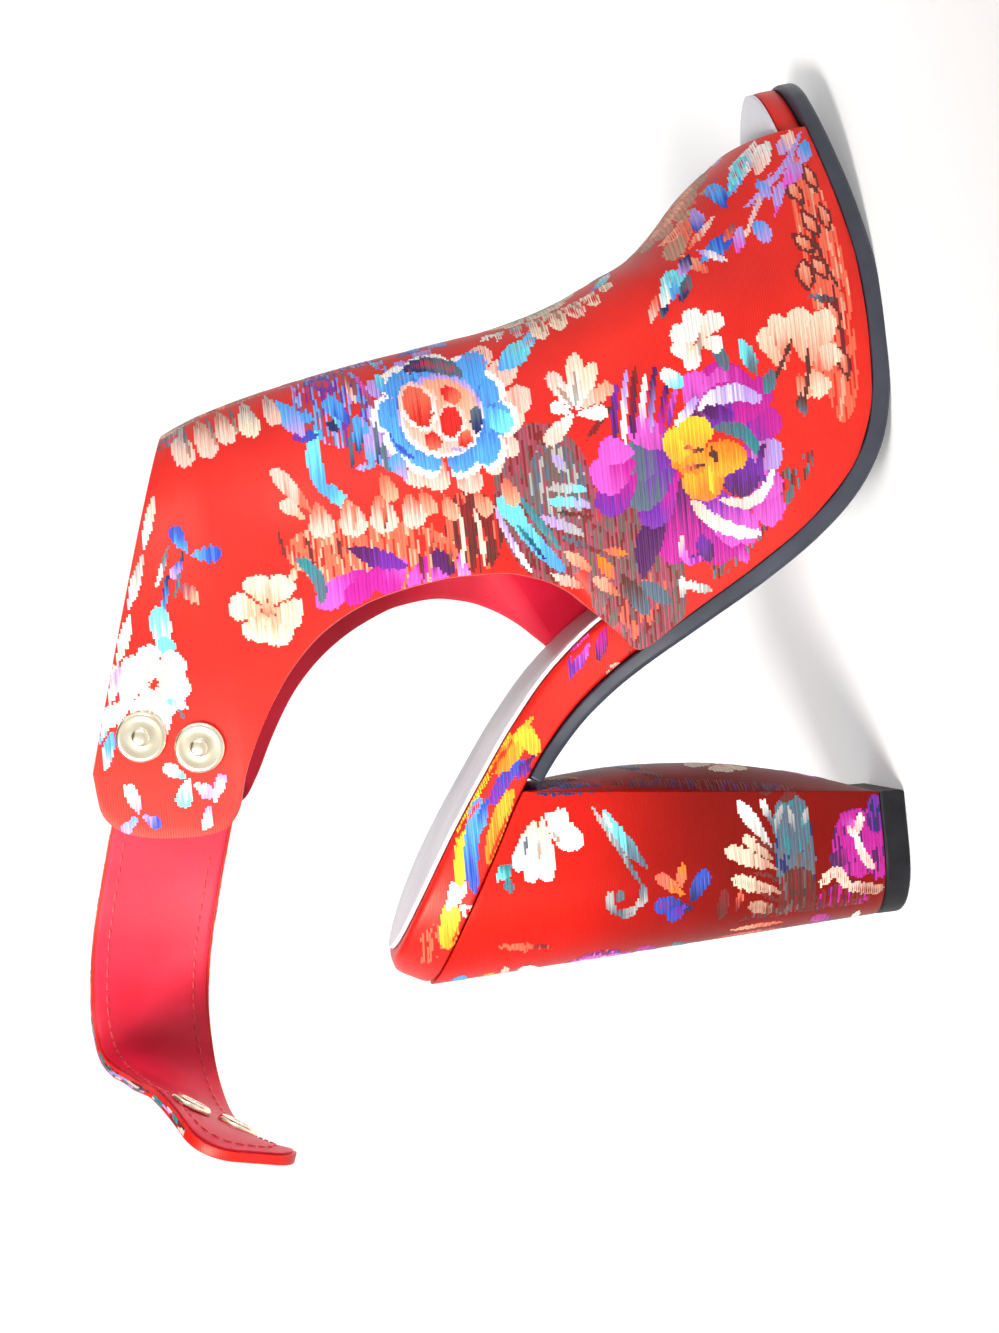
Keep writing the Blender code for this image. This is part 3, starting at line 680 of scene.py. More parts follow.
def upper_skin(u, v):
    """The smooth skin. From 0 to 1, u goes from the outer edge over the ridge to the inner edge, and v from
    the toe to the collar."""
    numbers = np.arange(len(UPPER_ROWS), dtype=float)
    column = [smooth(numbers, values, v * numbers[-1], level=True) for values in UPPER_ROWS.T]
    ridge_x, ridge_y, ridge_z = (column[i] for i in RIDGE_COLUMNS)
    across = 2 * u - 1
    edge_x, edge_z, cut, half = (
        np.where(across < 0, column[outer], column[inner])
        for outer, inner in zip(OUTER_COLUMNS, INNER_COLUMNS)
    )
    down = across**2
    up = np.maximum(1 - (1 - cut) * down, 0.0)
    swell = 1 + 4 * column[SWELL_COLUMN] * up * (1 - up)
    spread = half * np.sqrt(np.maximum(1 - up ** column[FULLNESS_COLUMN], 0)) * swell
    x = ridge_x + (edge_x - ridge_x) * down
    z = ridge_z + (edge_z - ridge_z) * down
    return np.stack([x, ridge_y + np.copysign(spread, across), z], axis=1)


print("upper:", len(UPPER_ROWS), "rows")

# %% Creases and the upper's wall
CREASES = [
    # start x  z     end x  z      width  depth  side
    (150.0, 63.0, 168.0, 47.0, 7.0, 0.7, -1),
    (150.0, 63.0, 168.0, 47.0, 7.0, 0.6, 1),
    (118.0, 60.0, 146.0, 66.0, 6.0, 0.35, -1),
    (84.0, 66.0, 108.0, 84.0, 4.0, 0.40, -1),
    (90.0, 62.0, 120.0, 74.0, 4.5, 0.35, -1),
    (98.0, 100.0, 120.0, 108.0, 5.0, 0.35, -1),
    (60.0, 156.0, 92.0, 158.0, 7.0, 0.45, -1),
    (96.0, 124.0, 118.0, 150.0, 7.0, 0.40, -1),
    (92.0, 104.0, 120.0, 116.0, 5.0, 0.40, 1),
    (60.0, 160.0, 100.0, 156.0, 8.0, 0.45, 1),
    (126.0, 40.0, 150.0, 52.0, 6.0, 0.35, 1),
]
UPPER_CORE = (120.0, 0.0, 70.0)


def outward(form, u, v, step=0.002):
    """Unit normals of a form, towards the outside of the upper."""
    du = form(np.clip(u + step, 0, 1), v) - form(np.clip(u - step, 0, 1), v)
    dv = form(u, np.clip(v + step, 0, 1)) - form(u, np.clip(v - step, 0, 1))
    normal = np.cross(dv, du)
    return normal / np.maximum(np.linalg.norm(normal, axis=1, keepdims=True), 1e-9)


def creased_upper(u, v):
    """The skin, sunk along each crease of its side. A crease fades out towards its ends."""
    points = upper_skin(u, v)
    sink = np.zeros(len(points))
    for x1, z1, x2, z2, width, depth, side in CREASES:
        start, run = np.array((x1, z1)), np.array((x2 - x1, z2 - z1))
        offset = points[:, [0, 2]] - start
        share = np.clip(offset @ run / (run @ run), 0, 1)
        away = np.linalg.norm(offset - share[:, None] * run, axis=1) / width
        fade = np.sin(math.pi * np.clip(share, 0.04, 0.96)) ** 0.5
        sink += depth * np.exp(-(away**2)) * fade * (np.sign(points[:, 1]) == side)
    return points - outward(upper_skin, u, v) * sink[:, None]


upper = sheet_over("brocade_upper", creased_upper, 132, 176, UPPER_CORE)
upper.data.materials.append(satin)
# The inside of the wall takes the lining with painted shade.
upper.data.materials.append(crimson_with_painted_shade)
apply_modifier(upper, "SOLIDIFY", thickness=WALL * MM, offset=-1, material_offset=1, material_offset_rim=0)
round_edges(upper, 0.55, 3)
seat(upper, "red_brocade", "upper")

# %% [markdown]
# ## Heel and top piece
#
# The heel is a block covered in the same cloth, glued under the insole, with a breast that swells forward
# like a pillow. Its outline under the insole is the heel end of the sole, and its foot is the same outline
# made smaller. A cube could be cut to shape, but rings between the two outlines keep the heel flush with the
# sole above it. The top piece is a plate of hard rubber below it, made from rings of the foot's outline.

# %% Heel
HEEL_BREAST = 43.2
PAST_BREAST = 8.5  # how far the footbed is followed beyond the breast
FOOT_BACK, FOOT_FRONT, FOOT_HALF = 4.0, 34.6, 18.5
BREAST_BELLY = 6.0
TOP_PIECE, TOP_PIECE_GAP = 6.0, 0.2
SIDE_POINTS, BREAST_POINTS = 44, 20
HEEL_CORE = (22.0, 0.0, 60.0)


def heel_outline():
    """Points round the heel's top, from the outer breast corner round the back to the inner one and across,
    and the part of the belly that each takes."""
    share = np.linspace(0, 1, SIDE_POINTS)
    station = HEEL_END + (HEEL_BREAST + PAST_BREAST - HEEL_END) * (1 - np.cos(share * math.pi / 2))
    along, height = under_footbed(station, footbed("insole", station) + GLUE)
    middle, half = footbed("centre", station), half_width(station)
    end = np.searchsorted(along, HEEL_BREAST)
    along, height, middle, half = along[:end], height[:end], middle[:end], half[:end]
    slope = (height[-1] - height[-2]) / (along[-1] - along[-2])
    along = np.append(along, HEEL_BREAST)
    height = np.append(height, height[-1] + slope * (HEEL_BREAST - along[-2]))
    middle = np.append(middle, middle[-1])
    half = np.append(half, half[-1])
    outer = np.stack([along, middle - half, height], 1)[::-1]
    inner = np.stack([along, middle + half, height], 1)[1:]
    across = np.linspace(1, -1, BREAST_POINTS)[1:-1]
    breast = np.stack([np.full_like(across, HEEL_BREAST), middle[-1] + half[-1] * across,
                       np.full_like(across, height[-1])], 1)
    ring = np.concatenate([outer, inner, breast])
    belly = np.concatenate([np.zeros(len(outer) + len(inner)), 1 - across**2])
    return ring, belly


def heel_foot(top):
    """The outline of the heel's foot: the top's outline, made smaller."""
    back, widest = top[:, 0].min(), np.abs(top[:, 1]).max()
    share = (top[:, 0] - back) / (HEEL_BREAST - back)
    return np.stack([FOOT_BACK + share * (FOOT_FRONT - FOOT_BACK), top[:, 1] * FOOT_HALF / widest], 1)


HEEL_TOP, HEEL_BELLY = heel_outline()
HEEL_FOOT = heel_foot(HEEL_TOP)


def heel_ring(share):
    low = TOP_PIECE + TOP_PIECE_GAP
    belly = BREAST_BELLY * 4 * share * (1 - share) * HEEL_BELLY
    x = HEEL_FOOT[:, 0] + (HEEL_TOP[:, 0] - HEEL_FOOT[:, 0]) * share + belly
    y = HEEL_FOOT[:, 1] + (HEEL_TOP[:, 1] - HEEL_FOOT[:, 1]) * share
    z = low + (HEEL_TOP[:, 2] - low) * share
    return np.stack([x, y, z], 1)


heel = sheet_over("covered_heel", form_of_rings(heel_ring, len(HEEL_TOP)), len(HEEL_TOP), 48, HEEL_CORE)
close_ends(heel)
round_edges(heel, 0.9, 3, 40)
heel.data.materials.append(heel_satin_with_painted_shade)
bpy.ops.object.shade_smooth_by_angle(angle=math.radians(40))
seat(heel, "red_brocade", "heel")

# %% Top piece
TOP_PIECE_CORE = (19.0, 0.0, 3.0)
TOP_PIECE_HEIGHTS = np.array((0.0, 0.5, 1.0, 5.0, 5.5, 6.0))
TOP_PIECE_WIDTHS = np.array((0.955, 0.985, 0.995, 1.0, 1.0, 0.985))  # parts of the foot's outline


def top_piece_ring(share):
    """A plate that narrows a little to its lower edge, with a shallow groove under the heel."""
    middle = HEEL_FOOT.mean(0)
    numbers = np.arange(len(TOP_PIECE_HEIGHTS))
    level = share * numbers[-1]
    outline = middle + (HEEL_FOOT - middle) * np.interp(level, numbers, TOP_PIECE_WIDTHS)
    height = np.interp(level, numbers, TOP_PIECE_HEIGHTS)
    return np.column_stack([outline, np.full(len(outline), height)])


top_piece_form = form_of_rings(top_piece_ring, len(HEEL_TOP))
top_piece = sheet_over("black_top_piece", top_piece_form, len(HEEL_TOP), 10, TOP_PIECE_CORE)
close_ends(top_piece)
top_piece.data.materials.append(black_rubber)
bpy.ops.object.shade_smooth_by_angle(angle=math.radians(35))
seat(top_piece, "black_top_piece", "top_piece")

# %% [markdown]
# ## Ankle strap
#
# The strap is a flat band that is stitched inside the inner quarter and hangs open round the back, with its
# loose end bent over. Its path is a short table, and the lean says how far the upper edge tips towards the
# ankle. A curve with a flat bevel could make the band, but not the rounded corners of its loose end, which a
# grid that narrows there has. A thinner sheet of crimson lining lies on its inner face, a little inside its
# edges.

# %% Strap path
STRAP_PATH = np.array([
    # x      y      z      lean
    (51.0, 27.9, 170.2, 0.0),
    (40.0, 27.7, 173.4, 0.0),
    (28.0, 28.0, 176.8, 0.0),
    (12.0, 28.8, 180.8, 4.0),
    (-3.0, 28.0, 182.8, 12.0),
    (-14.5, 22.8, 182.0, 22.0),
    (-21.4, 12.6, 179.0, 30.0),
    (-24.6, -1.0, 174.6, 34.0),
    (-26.2, -14.0, 169.6, 36.0),
    (-28.6, -26.0, 164.2, 31.0),
    (-31.8, -36.0, 158.8, 24.0),
])
STRAP_WIDTH, STRAP_THICKNESS, STRAP_CORNER = 29.0, 2.2, 9.0
STRAP_STEPS = 400
STRAP_LOOK = 1.5  # distance each way along the path that gives its direction


def fine_strap_path():
    """The path in short steps, with the distance along it."""
    places = np.arange(len(STRAP_PATH), dtype=float)
    dense = np.linspace(0, len(STRAP_PATH) - 1, STRAP_STEPS)
    line = np.array([smooth(places, column, dense) for column in STRAP_PATH.T]).T
    steps = np.linalg.norm(np.diff(line[:, :3], axis=0), axis=1)
    return line, np.insert(np.cumsum(steps), 0, 0)


STRAP_LINE, STRAP_LENGTHS = fine_strap_path()
STRAP_LENGTH = STRAP_LENGTHS[-1]


def strap_point(along):
    return np.array([np.interp(along, STRAP_LENGTHS, STRAP_LINE[:, i]) for i in range(3)]).T


def on_strap(along, across, above):
    """Points at a distance along the strap, a distance across it and a height above its middle, and the way
    out of its outer face there."""
    run = strap_point(along + STRAP_LOOK) - strap_point(along - STRAP_LOOK)
    way = run / np.linalg.norm(run, axis=1, keepdims=True)
    upright = np.array((0, 0, 1.0)) - way * way[:, 2:]
    upright /= np.linalg.norm(upright, axis=1, keepdims=True)
    lean = np.radians(np.interp(along, STRAP_LENGTHS, STRAP_LINE[:, 3]))[:, None]
    width = upright * np.cos(lean) - np.cross(way, upright) * np.sin(lean)
    out = -np.cross(width, way)
    return strap_point(along) + width * across[:, None] + out * np.asarray(above).reshape(-1, 1), out


def strap_half(along, inset):
    """Half width of the band, less an inset, with the corners of the loose end rounded."""
    inward = np.clip(STRAP_CORNER - (STRAP_LENGTH - inset - along), 0, STRAP_CORNER)
    return STRAP_WIDTH / 2 - inset - STRAP_CORNER + np.sqrt(STRAP_CORNER**2 - inward**2)


def band_on_strap(start, inset, height):
    """A band that follows the strap from a start to its loose end, with short steps at that end."""

    def form(u, v):
        end = STRAP_LENGTH - inset
        along = start + (end - start) * np.sin(v * math.pi / 2) ** 0.9
        across = (2 * u - 1) * strap_half(along, inset)
        return on_strap(along, across, np.full(len(u), height))[0]

    return form


print("strap:", round(STRAP_LENGTH), "mm long")

# %% Strap and its lining
ANKLE = (20.0, 0.0, 172.0)
LINING_START, LINING_INSET, LINING_HEIGHT = 1.5, 0.8, 0.45

strap = sheet_over("ankle_strap_band", band_on_strap(0.0, 0.0, 0.0), 28, 150, ANKLE)
strap.data.materials.append(satin)
apply_modifier(strap, "SOLIDIFY", thickness=STRAP_THICKNESS * MM, offset=0, use_even_offset=True)
round_edges(strap, 0.7, 3)
seat(strap, "red_brocade", "ankle_strap")

lining_form = band_on_strap(LINING_START, LINING_INSET, -STRAP_THICKNESS / 2 - LINING_HEIGHT / 2)
lining = sheet_over("strap_lining", lining_form, 24, 140, ANKLE)
lining.data.materials.append(crimson)
apply_modifier(lining, "SOLIDIFY", thickness=LINING_HEIGHT * MM, offset=0)
round_edges(lining, 0.18, 2)
seat(lining, "red_brocade")

# %% [markdown]
# ## Woven flowers
#
# A brocade's flowers are floats: coloured weft threads that lie on top of the ground for a short way, row by
# row. They stand a hair above the cloth, and their ends make the small steps at the edge of every petal. A
# material could paint them, but a painted edge is soft close up. Here they are woven instead. A chart lists
# the forms of a flower, as a weaver's chart does: what it is (petal, leaf, disc or bar), where it starts and
# ends, its width, how far it bows, and the colours of its root and its tip. A ring stands for a wheel of
# petals, and the root colour mix for short threads in several colours.

# %% Thread colours
THREAD = dict(
    red=(0.66, 0.012, 0.008), coral=(0.80, 0.13, 0.07), peach=(0.82, 0.34, 0.22), blush=(0.84, 0.52, 0.44),
    cream=(0.80, 0.62, 0.47), white=(0.82, 0.80, 0.77), grey=(0.40, 0.39, 0.38), tan=(0.44, 0.24, 0.17),
    yellow=(0.88, 0.56, 0.03), amber=(0.86, 0.36, 0.02), orange=(0.84, 0.20, 0.01), orchid=(0.66, 0.09, 0.54),
    magenta=(0.46, 0.012, 0.28), violet=(0.16, 0.02, 0.33), plum=(0.08, 0.01, 0.10), lilac=(0.42, 0.29, 0.70),
    sky=(0.08, 0.33, 0.80), blue=(0.03, 0.07, 0.46), navy=(0.015, 0.022, 0.11), cyan=(0.16, 0.68, 0.78),
    teal=(0.03, 0.20, 0.24), slate=(0.09, 0.13, 0.18), brown=(0.10, 0.025, 0.02), maroon=(0.20, 0.015, 0.016),
    mauve=(0.30, 0.06, 0.09), dusk=(0.15, 0.095, 0.09),
)
print("thread colours:", len(THREAD))


# %% Forms on the chart
def reach_of(form, share):
    """Half width of a form at a share of its length, as a part of its widest."""
    share = np.clip(share, 0, 1)
    if form == "petal":
        return 1.30 * share**0.7 * np.sqrt(1 - share**3.2)
    if form == "leaf":
        return np.sin(math.pi * share) ** 0.85
    if form == "disc":
        return np.sqrt(1 - (2 * share - 1) ** 2)
    return np.sqrt(1 - (2 * share - 1) ** 6) * (0.75 + 0.25 * np.sin(math.pi * share))


def chart_rows(chart):
    """A chart's lines as rows. A ring line stands for petals that radiate from a middle."""
    rows = []
    for line in chart.strip().splitlines():
        form, *words = line.split()
        if form == "ring":
            kind, *numbers = words[:-2]
            x, z, inner, outer, count, start, sweep, width = map(float, numbers)
            chance = np.random.default_rng(int(abs(10 * x) + abs(z)))
            places = np.arange(count) + chance.uniform(-0.16, 0.16, int(count))
            for angle in np.radians(start + sweep * places / count):
                way = np.array((math.cos(angle), math.sin(angle)))
                end = (x, z) + way * outer * chance.uniform(0.92, 1.07)
                rows.append((kind, (x, z) + way * inner, end, width * chance.uniform(0.88, 1.12),
                             width * chance.uniform(-0.15, 0.15), *words[-2:]))
        else:
            x1, z1, x2, z2, width, bow = map(float, words[:6])
            rows.append((form, np.array((x1, z1)), np.array((x2, z2)), width, bow, *words[6:8]))
    return rows


def moved(rows, middle, place, turn=0.0, size=1.0, flip=False):
    """The rows turned and sized about a middle, and put somewhere else."""
    angle = math.radians(turn)
    spin = np.array(((math.cos(angle), -math.sin(angle)), (math.sin(angle), math.cos(angle)))) * size
    mirror = np.array((-1.0 if flip else 1.0, 1.0))
    result = []
    for form, start, end, width, bow, root, tip in rows:
        ends = [spin @ ((point - np.array(middle)) * mirror) + place for point in (start, end)]
        result.append((form, *ends, width * size, bow * size * (-1 if flip else 1), root, tip))
    return result


print("forms: petal, leaf, disc and bar")

# %% [markdown]
# ## The loom
#
# A loom lays one weft thread after another, and each thread is on top of the cloth only where the chart says
# so. Here the chart is read the same way, on a fine grid: a row of cells for each weft thread. A later form
# covers an earlier one, each row is shifted a little by chance, and the colours meet at a ragged border, as
# threads do. Every float could be a curve with a round bevel, but a thin strip with a raised middle looks the
# same from here and has far fewer faces.

# %% A chart on the loom
WEFT, CELL = 0.5, 0.35  # millimetres from float to float, and the shortest step along one
ROW_SHIFT = 0.35  # millimetres that a float may be shifted by
LEAST_WIDTH = 0.95  # millimetres, so that no form falls between two floats
MIX_RUN, MOST_RUNS = (1.2, 5.0), 60  # shortest and longest run of a colour in a mix, and most runs in a row
RAGGED = 0.22  # part of a form's length that the border of its two colours may be shifted by
SHADES = (0.86, 1.06)


def mixed_threads(names, x, count, chance):
    """Short runs of colours picked by chance: the run of each cell, whether it shows, and its colour."""
    cuts = np.cumsum(chance.uniform(*MIX_RUN, (count, MOST_RUNS)), axis=1)
    run = np.array([np.searchsorted(c, x - x[0]) for c in cuts])
    pick = np.take_along_axis(chance.integers(len(names), size=(count, MOST_RUNS + 1)), run, axis=1)
    shows = np.array([name != "none" for name in names])[pick]
    color = np.array([THREAD[name if name != "none" else "red"] for name in names])[pick]
    return run, shows, color


def fading_threads(root, tip, share, chance):
    """The root's colour, then the tip's, with a ragged border between them."""
    ragged = chance.uniform(-RAGGED, RAGGED, len(share))[:, None]
    fade = np.clip((share - 0.45 + ragged) * 2.0 + 0.5, 0, 1)[..., None]
    return np.array(THREAD[root]) * (1 - fade) + np.array(THREAD[tip]) * fade


def woven_cells(rows, chance):
    """The chart on a loom: for each cell of each float, the number of its form (or -1) and its colour."""
    ends = np.array([end for row in rows for end in row[1:3]])
    spare = max(row[3] for row in rows)
    x = np.arange(ends[:, 0].min() - spare, ends[:, 0].max() + spare, CELL)
    z = np.arange(ends[:, 1].min() - spare, ends[:, 1].max() + spare, WEFT)
    owner = np.full((len(z), len(x)), -1)
    tint = np.zeros((len(z), len(x), 3))
    for number, (form, start, end, width, bow, root, tip) in enumerate(rows):
        margin = width / 2 + abs(bow) + 1
        i, k = (slice(*np.searchsorted(a, (min(start[n], end[n]) - margin, max(start[n], end[n]) + margin)))
                for n, a in enumerate((x, z)))
        count = len(z[k])
        away_x = x[None, i] + chance.uniform(-ROW_SHIFT, ROW_SHIFT, count)[:, None] - start[0]
        away_z = z[k, None] - start[1]
        run = end - start
        length = np.hypot(*run)
        share = (away_x * run[0] + away_z * run[1]) / length**2
        across = (away_z * run[0] - away_x * run[1]) / length - bow * 4 * share * (1 - share)
        half = reach_of(form, share) * max(width, LEAST_WIDTH) / 2
        inside = (share > 0) & (share < 1) & (np.abs(across) < half)
        part = np.full(inside.shape, number)
        if root == "mix":
            piece, shows, color = mixed_threads(tip.split("/"), x[i], count, chance)
            inside &= shows
            part = part + piece * len(rows)
        else:
            color = fading_threads(root, tip, share, chance)
        shade = chance.uniform(*SHADES, count)[:, None, None]
        owner[k, i] = np.where(inside, part, owner[k, i])
        tint[k, i] = np.where(inside[..., None], color * shade, tint[k, i])
    return x, z, owner, tint


print("a float every", WEFT, "mm")

# %% Floats on the cloth
FLOAT_EDGE, FLOAT_CROWN = 0.03, 0.15  # millimetres above the ground
FLOAT_STEP, FLOAT_END = 1.5, 0.5  # longest step along a float, and the length over which its ends slope
GROOVE_PAINTED_SHADE = 0.82  # a float is darker where it meets the next one: painted shade in the groove between floats


def float_runs(owner):
    """Every unbroken run of one form in one float, as (float, first cell, last cell)."""
    for k, line in enumerate(owner):
        starts = np.flatnonzero(np.diff(line, prepend=line[0] - 1))
        for first, last in zip(starts, np.append(starts[1:], len(line)) - 1):
            if line[first] >= 0:
                yield k, first, last


def float_strips(x, z, owner, tint):
    """Every run as a thin strip with a rounded top: flat places, heights, colours and faces."""
    flat, lift, tints, faces = [], [], [], []
    for k, first, last in float_runs(owner):
        start, end = x[first] - CELL / 2, x[last] + CELL / 2
        steps = max(2, math.ceil((end - start) / FLOAT_STEP))
        along = np.linspace(start, end, steps + 1)
        along[1], along[-2] = min(along[1], start + FLOAT_END), max(along[-2], end - FLOAT_END)
        crown = np.where((along == start) | (along == end), FLOAT_EDGE, FLOAT_CROWN)
        cell = np.clip(np.rint((along - x[0]) / CELL).astype(int), first, last)
        base = len(flat)
        for a, c, color in zip(along, crown, tint[k, cell]):
            flat += [(a, z[k] - WEFT / 2), (a, z[k]), (a, z[k] + WEFT / 2)]
            lift += [FLOAT_EDGE, c, FLOAT_EDGE]
            # The long edges of a float, where it dips to meet the next one, get painted shade.
            tints += [color * GROOVE_PAINTED_SHADE, color, color * GROOVE_PAINTED_SHADE]
        for s in range(steps):
            a = base + 3 * s
            faces += [(a, a + 3, a + 4, a + 1), (a + 1, a + 4, a + 5, a + 2)]
    return np.array(flat), np.array(lift), np.array(tints), np.array(faces)


def new_piece(name, points, faces, material):
    """A smooth piece from points in metres and faces."""
    mesh = bpy.data.meshes.new(name)
    mesh.from_pydata(points.tolist(), [], faces)
    mesh.materials.append(material)
    mesh.shade_smooth()
    piece = bpy.data.objects.new(name, mesh)
    bpy.context.scene.collection.objects.link(piece)
    return piece


def weave(name, rows, lay, seed):
    """One joined piece of all floats of a chart, laid on the cloth, with their colours in tint."""
    x, z, owner, tint = woven_cells(rows, np.random.default_rng(seed))
    used = np.argwhere(owner >= 0)
    off_cloth = ~lay(np.column_stack([x[used[:, 1]], z[used[:, 0]]]))[2]
    owner[used[off_cloth, 0], used[off_cloth, 1]] = -1
    flat, lift, tints, faces = float_strips(x, z, owner, tint)
    spots, normals, _ = lay(flat)
    spots = spots + normals * (lift[:, None] * MM)
    corner = spots[faces]
    square_to_face = np.cross(corner[:, 1] - corner[:, 0], corner[:, 3] - corner[:, 0])
    facing = np.einsum("ij,ij->i", square_to_face, normals[faces[:, 0]]).sum()
    flowers = new_piece(name, spots, (faces if facing > 0 else faces[:, ::-1]).tolist(), flower_thread)
    color = flowers.data.attributes.new("tint", "FLOAT_COLOR", "POINT")
    color.data.foreach_set("color", np.column_stack([tints, np.ones(len(tints))]).ravel().astype(np.float32))
    seat(flowers, "red_brocade")


print("floats stand", FLOAT_CROWN, "mm high")

# %% [markdown]
# ## From the loom to the shoe
#
# A real cloth is woven flat and then pulled over the last. The floats are laid on the finished pieces
# instead: a ray goes from each flat point to the cloth, from the side that the chart is drawn from, and the
# point stays where the ray meets it. A Shrinkwrap modifier does much the same, but it can't say which points
# miss. Those are left out, or take the depth of a neighbour where a float reaches just over an edge.

# %% Laying a chart on a piece
OUTER, INNER, BEHIND, AHEAD = (0, -1, 0), (0, 1, 0), (-1, 0, 0), (1, 0, 0)
SIDE_FACING = 0.38  # part of a normal across the shoe where the front meets the outer side
INNER_FACING = 0.78  # and where it meets the inner side
RAY_START = 0.3  # metres back from the shoe's middle
NEIGHBOURS = 4  # points before and after one that misses


def lay_from(piece, ahead, right, deepest, suits):
    """Lays flat points on a piece as seen along ahead, with x along right and z up. It gives the places, the
    cloth's normals there, and whether the cloth is met: near enough, and with a normal that suits. Deepest is
    in millimetres beyond the shoe's middle."""
    cloth = BVHTree.FromObject(piece, bpy.context.evaluated_depsgraph_get())
    ahead, right = Vector(ahead).normalized(), np.array(right, float)

    def lay(flat):
        starts = in_frame(flat[:, :1] * right + flat[:, 1:] * np.array((0, 0, 1.0)))
        spots, normals, met = np.empty_like(starts), np.empty_like(starts), np.zeros(len(flat), bool)
        depth = np.zeros(len(flat))
        for i, start in enumerate(starts):
            spot, normal, _, distance = cloth.ray_cast(Vector(start) - ahead * RAY_START, ahead)
            met[i] = spot is not None and distance - RAY_START < deepest * MM and suits(normal)
            if met[i]:
                spots[i], normals[i], depth[i] = spot, normal, distance - RAY_START
        before = np.maximum.accumulate(np.where(met, np.arange(len(flat)), 0))
        for i in np.flatnonzero(~met):
            near = np.arange(max(i - NEIGHBOURS, 0), min(i + NEIGHBOURS + 1, len(flat)))
            near = near[met[near]]
            beside = near[np.argmin(np.abs(flat[near] - flat[i]).sum(1))] if len(near) else before[i]
            spots[i], normals[i], _, _ = cloth.find_nearest(Vector(starts[i]) + ahead * depth[beside])
        return spots, normals, met

    return lay


def turned_to(way, least):
    """Suits normals that turn to a way by at least a cosine."""
    way = Vector(way)
    return lambda normal: normal.dot(way) > least


print("rays start", RAY_START, "m back")

# %% [markdown]
# ## Flowers of the outer side
#
# The outer side shows best: a peony at the ball, a blue aster on the instep, coral and maroon threads round
# the cut of the open back, and small sprays between them. Each flower has its own chart, in millimetres from
# the heel's back and up from the floor, drawn from its main forms. The order matters, because later
# forms cover earlier ones: fields of mixed threads first, then petals, then hearts and fine lines.

# %% Charts of the outer side
PEONY = chart_rows("""
petal 112 46 91 41 13 0 violet magenta
petal 112 48 92 53 11 1 plum magenta
petal 110 44 95 34 11 -1 violet orchid
leaf 106 53 89 60 6 -1 plum plum
petal 113 50 101 58 9 0 magenta violet
petal 114 50 106 61 9 0 violet slate
petal 116 50 116 62 11 0 violet slate
petal 118 48 124 60 8 0 plum orchid
petal 113 59 105 68 9 0 magenta violet
petal 116 59 112 69 11 0 magenta orchid
petal 118 59 119 67 8 0 orchid orchid
petal 108 36 99 28 9 1 magenta orchid
petal 112 36 106 27 8 0 plum orchid
petal 116 36 114 26 9 0 magenta lilac
petal 119 36 123 26 9 0 violet magenta
petal 121 38 131 28 9 0 magenta magenta
petal 121 42 136 36 13 0 violet magenta
petal 122 44 135 44 8 0 plum orchid
bar 121 63 134 61.6 1.5 0.4 plum violet
bar 120 61 137 58.8 1.4 0.5 white lilac
bar 121 59 138 56.6 1.5 0.5 plum maroon
bar 120 57 136 54.6 1.5 0.5 orchid white
bar 122 55 137 52.4 1.4 0.4 lilac plum
bar 121 53 134 49.8 1.5 0.4 magenta plum
bar 123 51 133 47.6 1.4 0.4 violet orchid
disc 131.4 47 136 51.2 3.8 0 cyan white
bar 106 47.4 96.8 32 3.2 -2.4 blush white
bar 98 50 91 48.6 1.8 -1 blush orchid
disc 91.6 44 97.6 46 3.6 0 plum violet
disc 90.6 36 95 37.6 2.8 0 orchid magenta
disc 105.6 36 115 36 9 0 plum violet
bar 105.4 41 111 28.4 2.8 -3.8 blush white
bar 126 44 127 29.6 4.2 2.6 white lilac
bar 130.6 43 130.4 31 3.6 3 orchid magenta
bar 122.6 49.4 129 44 2.2 0 white lilac
disc 123.4 36 126.2 43 3.4 0 violet plum
bar 121.8 41 115 31.4 3.2 2.2 slate teal
bar 117 30 108 30.6 1.6 -1 plum violet
disc 105.4 44 114 44.8 9.4 0 orange amber
disc 111.6 46.8 119 46.4 9.6 0 orange amber
disc 114.6 49.8 122.8 49 6.4 0 amber yellow
disc 117.6 45.4 124.6 45 7.8 0 amber yellow
disc 110.6 40 118.8 39.4 9 0 amber orange
disc 111.6 37 117.6 36.2 4.8 0 amber orange
bar 107 42.6 113 42.8 0.7 0 yellow yellow
bar 112.6 48.6 113.4 43.4 0.7 0.4 coral brown
bar 118.4 48.4 116.8 43.4 0.7 -0.4 coral brown
leaf 113.6 40.8 117.4 42.2 1.7 0 brown brown
""")
WHITE_BLOSSOM = chart_rows("""
leaf 141 39 134 36.6 3 0 slate slate
petal 141 43 135.4 45 4.8 0 cream white
petal 142 43 139.4 48.2 5 0 cream white
petal 142 43 145 48 5.2 0 white white
petal 142 42.6 149.4 43 5.6 0 white white
petal 142 42 147.6 37 5.6 0 cream white
petal 141 42 140.6 37 5 0 cream white
leaf 138 42.6 144 41.8 0.8 0 grey tan
""")
CREAM_SPRAY = chart_rows("""
petal 133 24 143 28.2 5.6 0 peach cream
petal 135 23 146 25 5.6 0 coral cream
petal 134 19 147 19.6 8 0 peach cream
petal 133 18 146 13.2 7.6 0 peach cream
petal 132 18 137 11.4 6.4 0 coral cream
petal 133 19 126.6 15.4 6.6 0 peach cream
petal 132 21 126 19.6 4 0 coral peach
bar 123 21.6 138 18.6 0.8 -1 brown brown
bar 131 26.6 140 21.6 0.8 0 brown brown
leaf 122.4 20.4 127.6 21 2.6 0 slate brown
leaf 127.6 28.8 134 26.6 2.8 0 teal slate
leaf 132.6 30.4 141.4 33.2 3.4 0 slate cyan
leaf 147.8 10 149.4 17 1.8 0 brown slate
""")
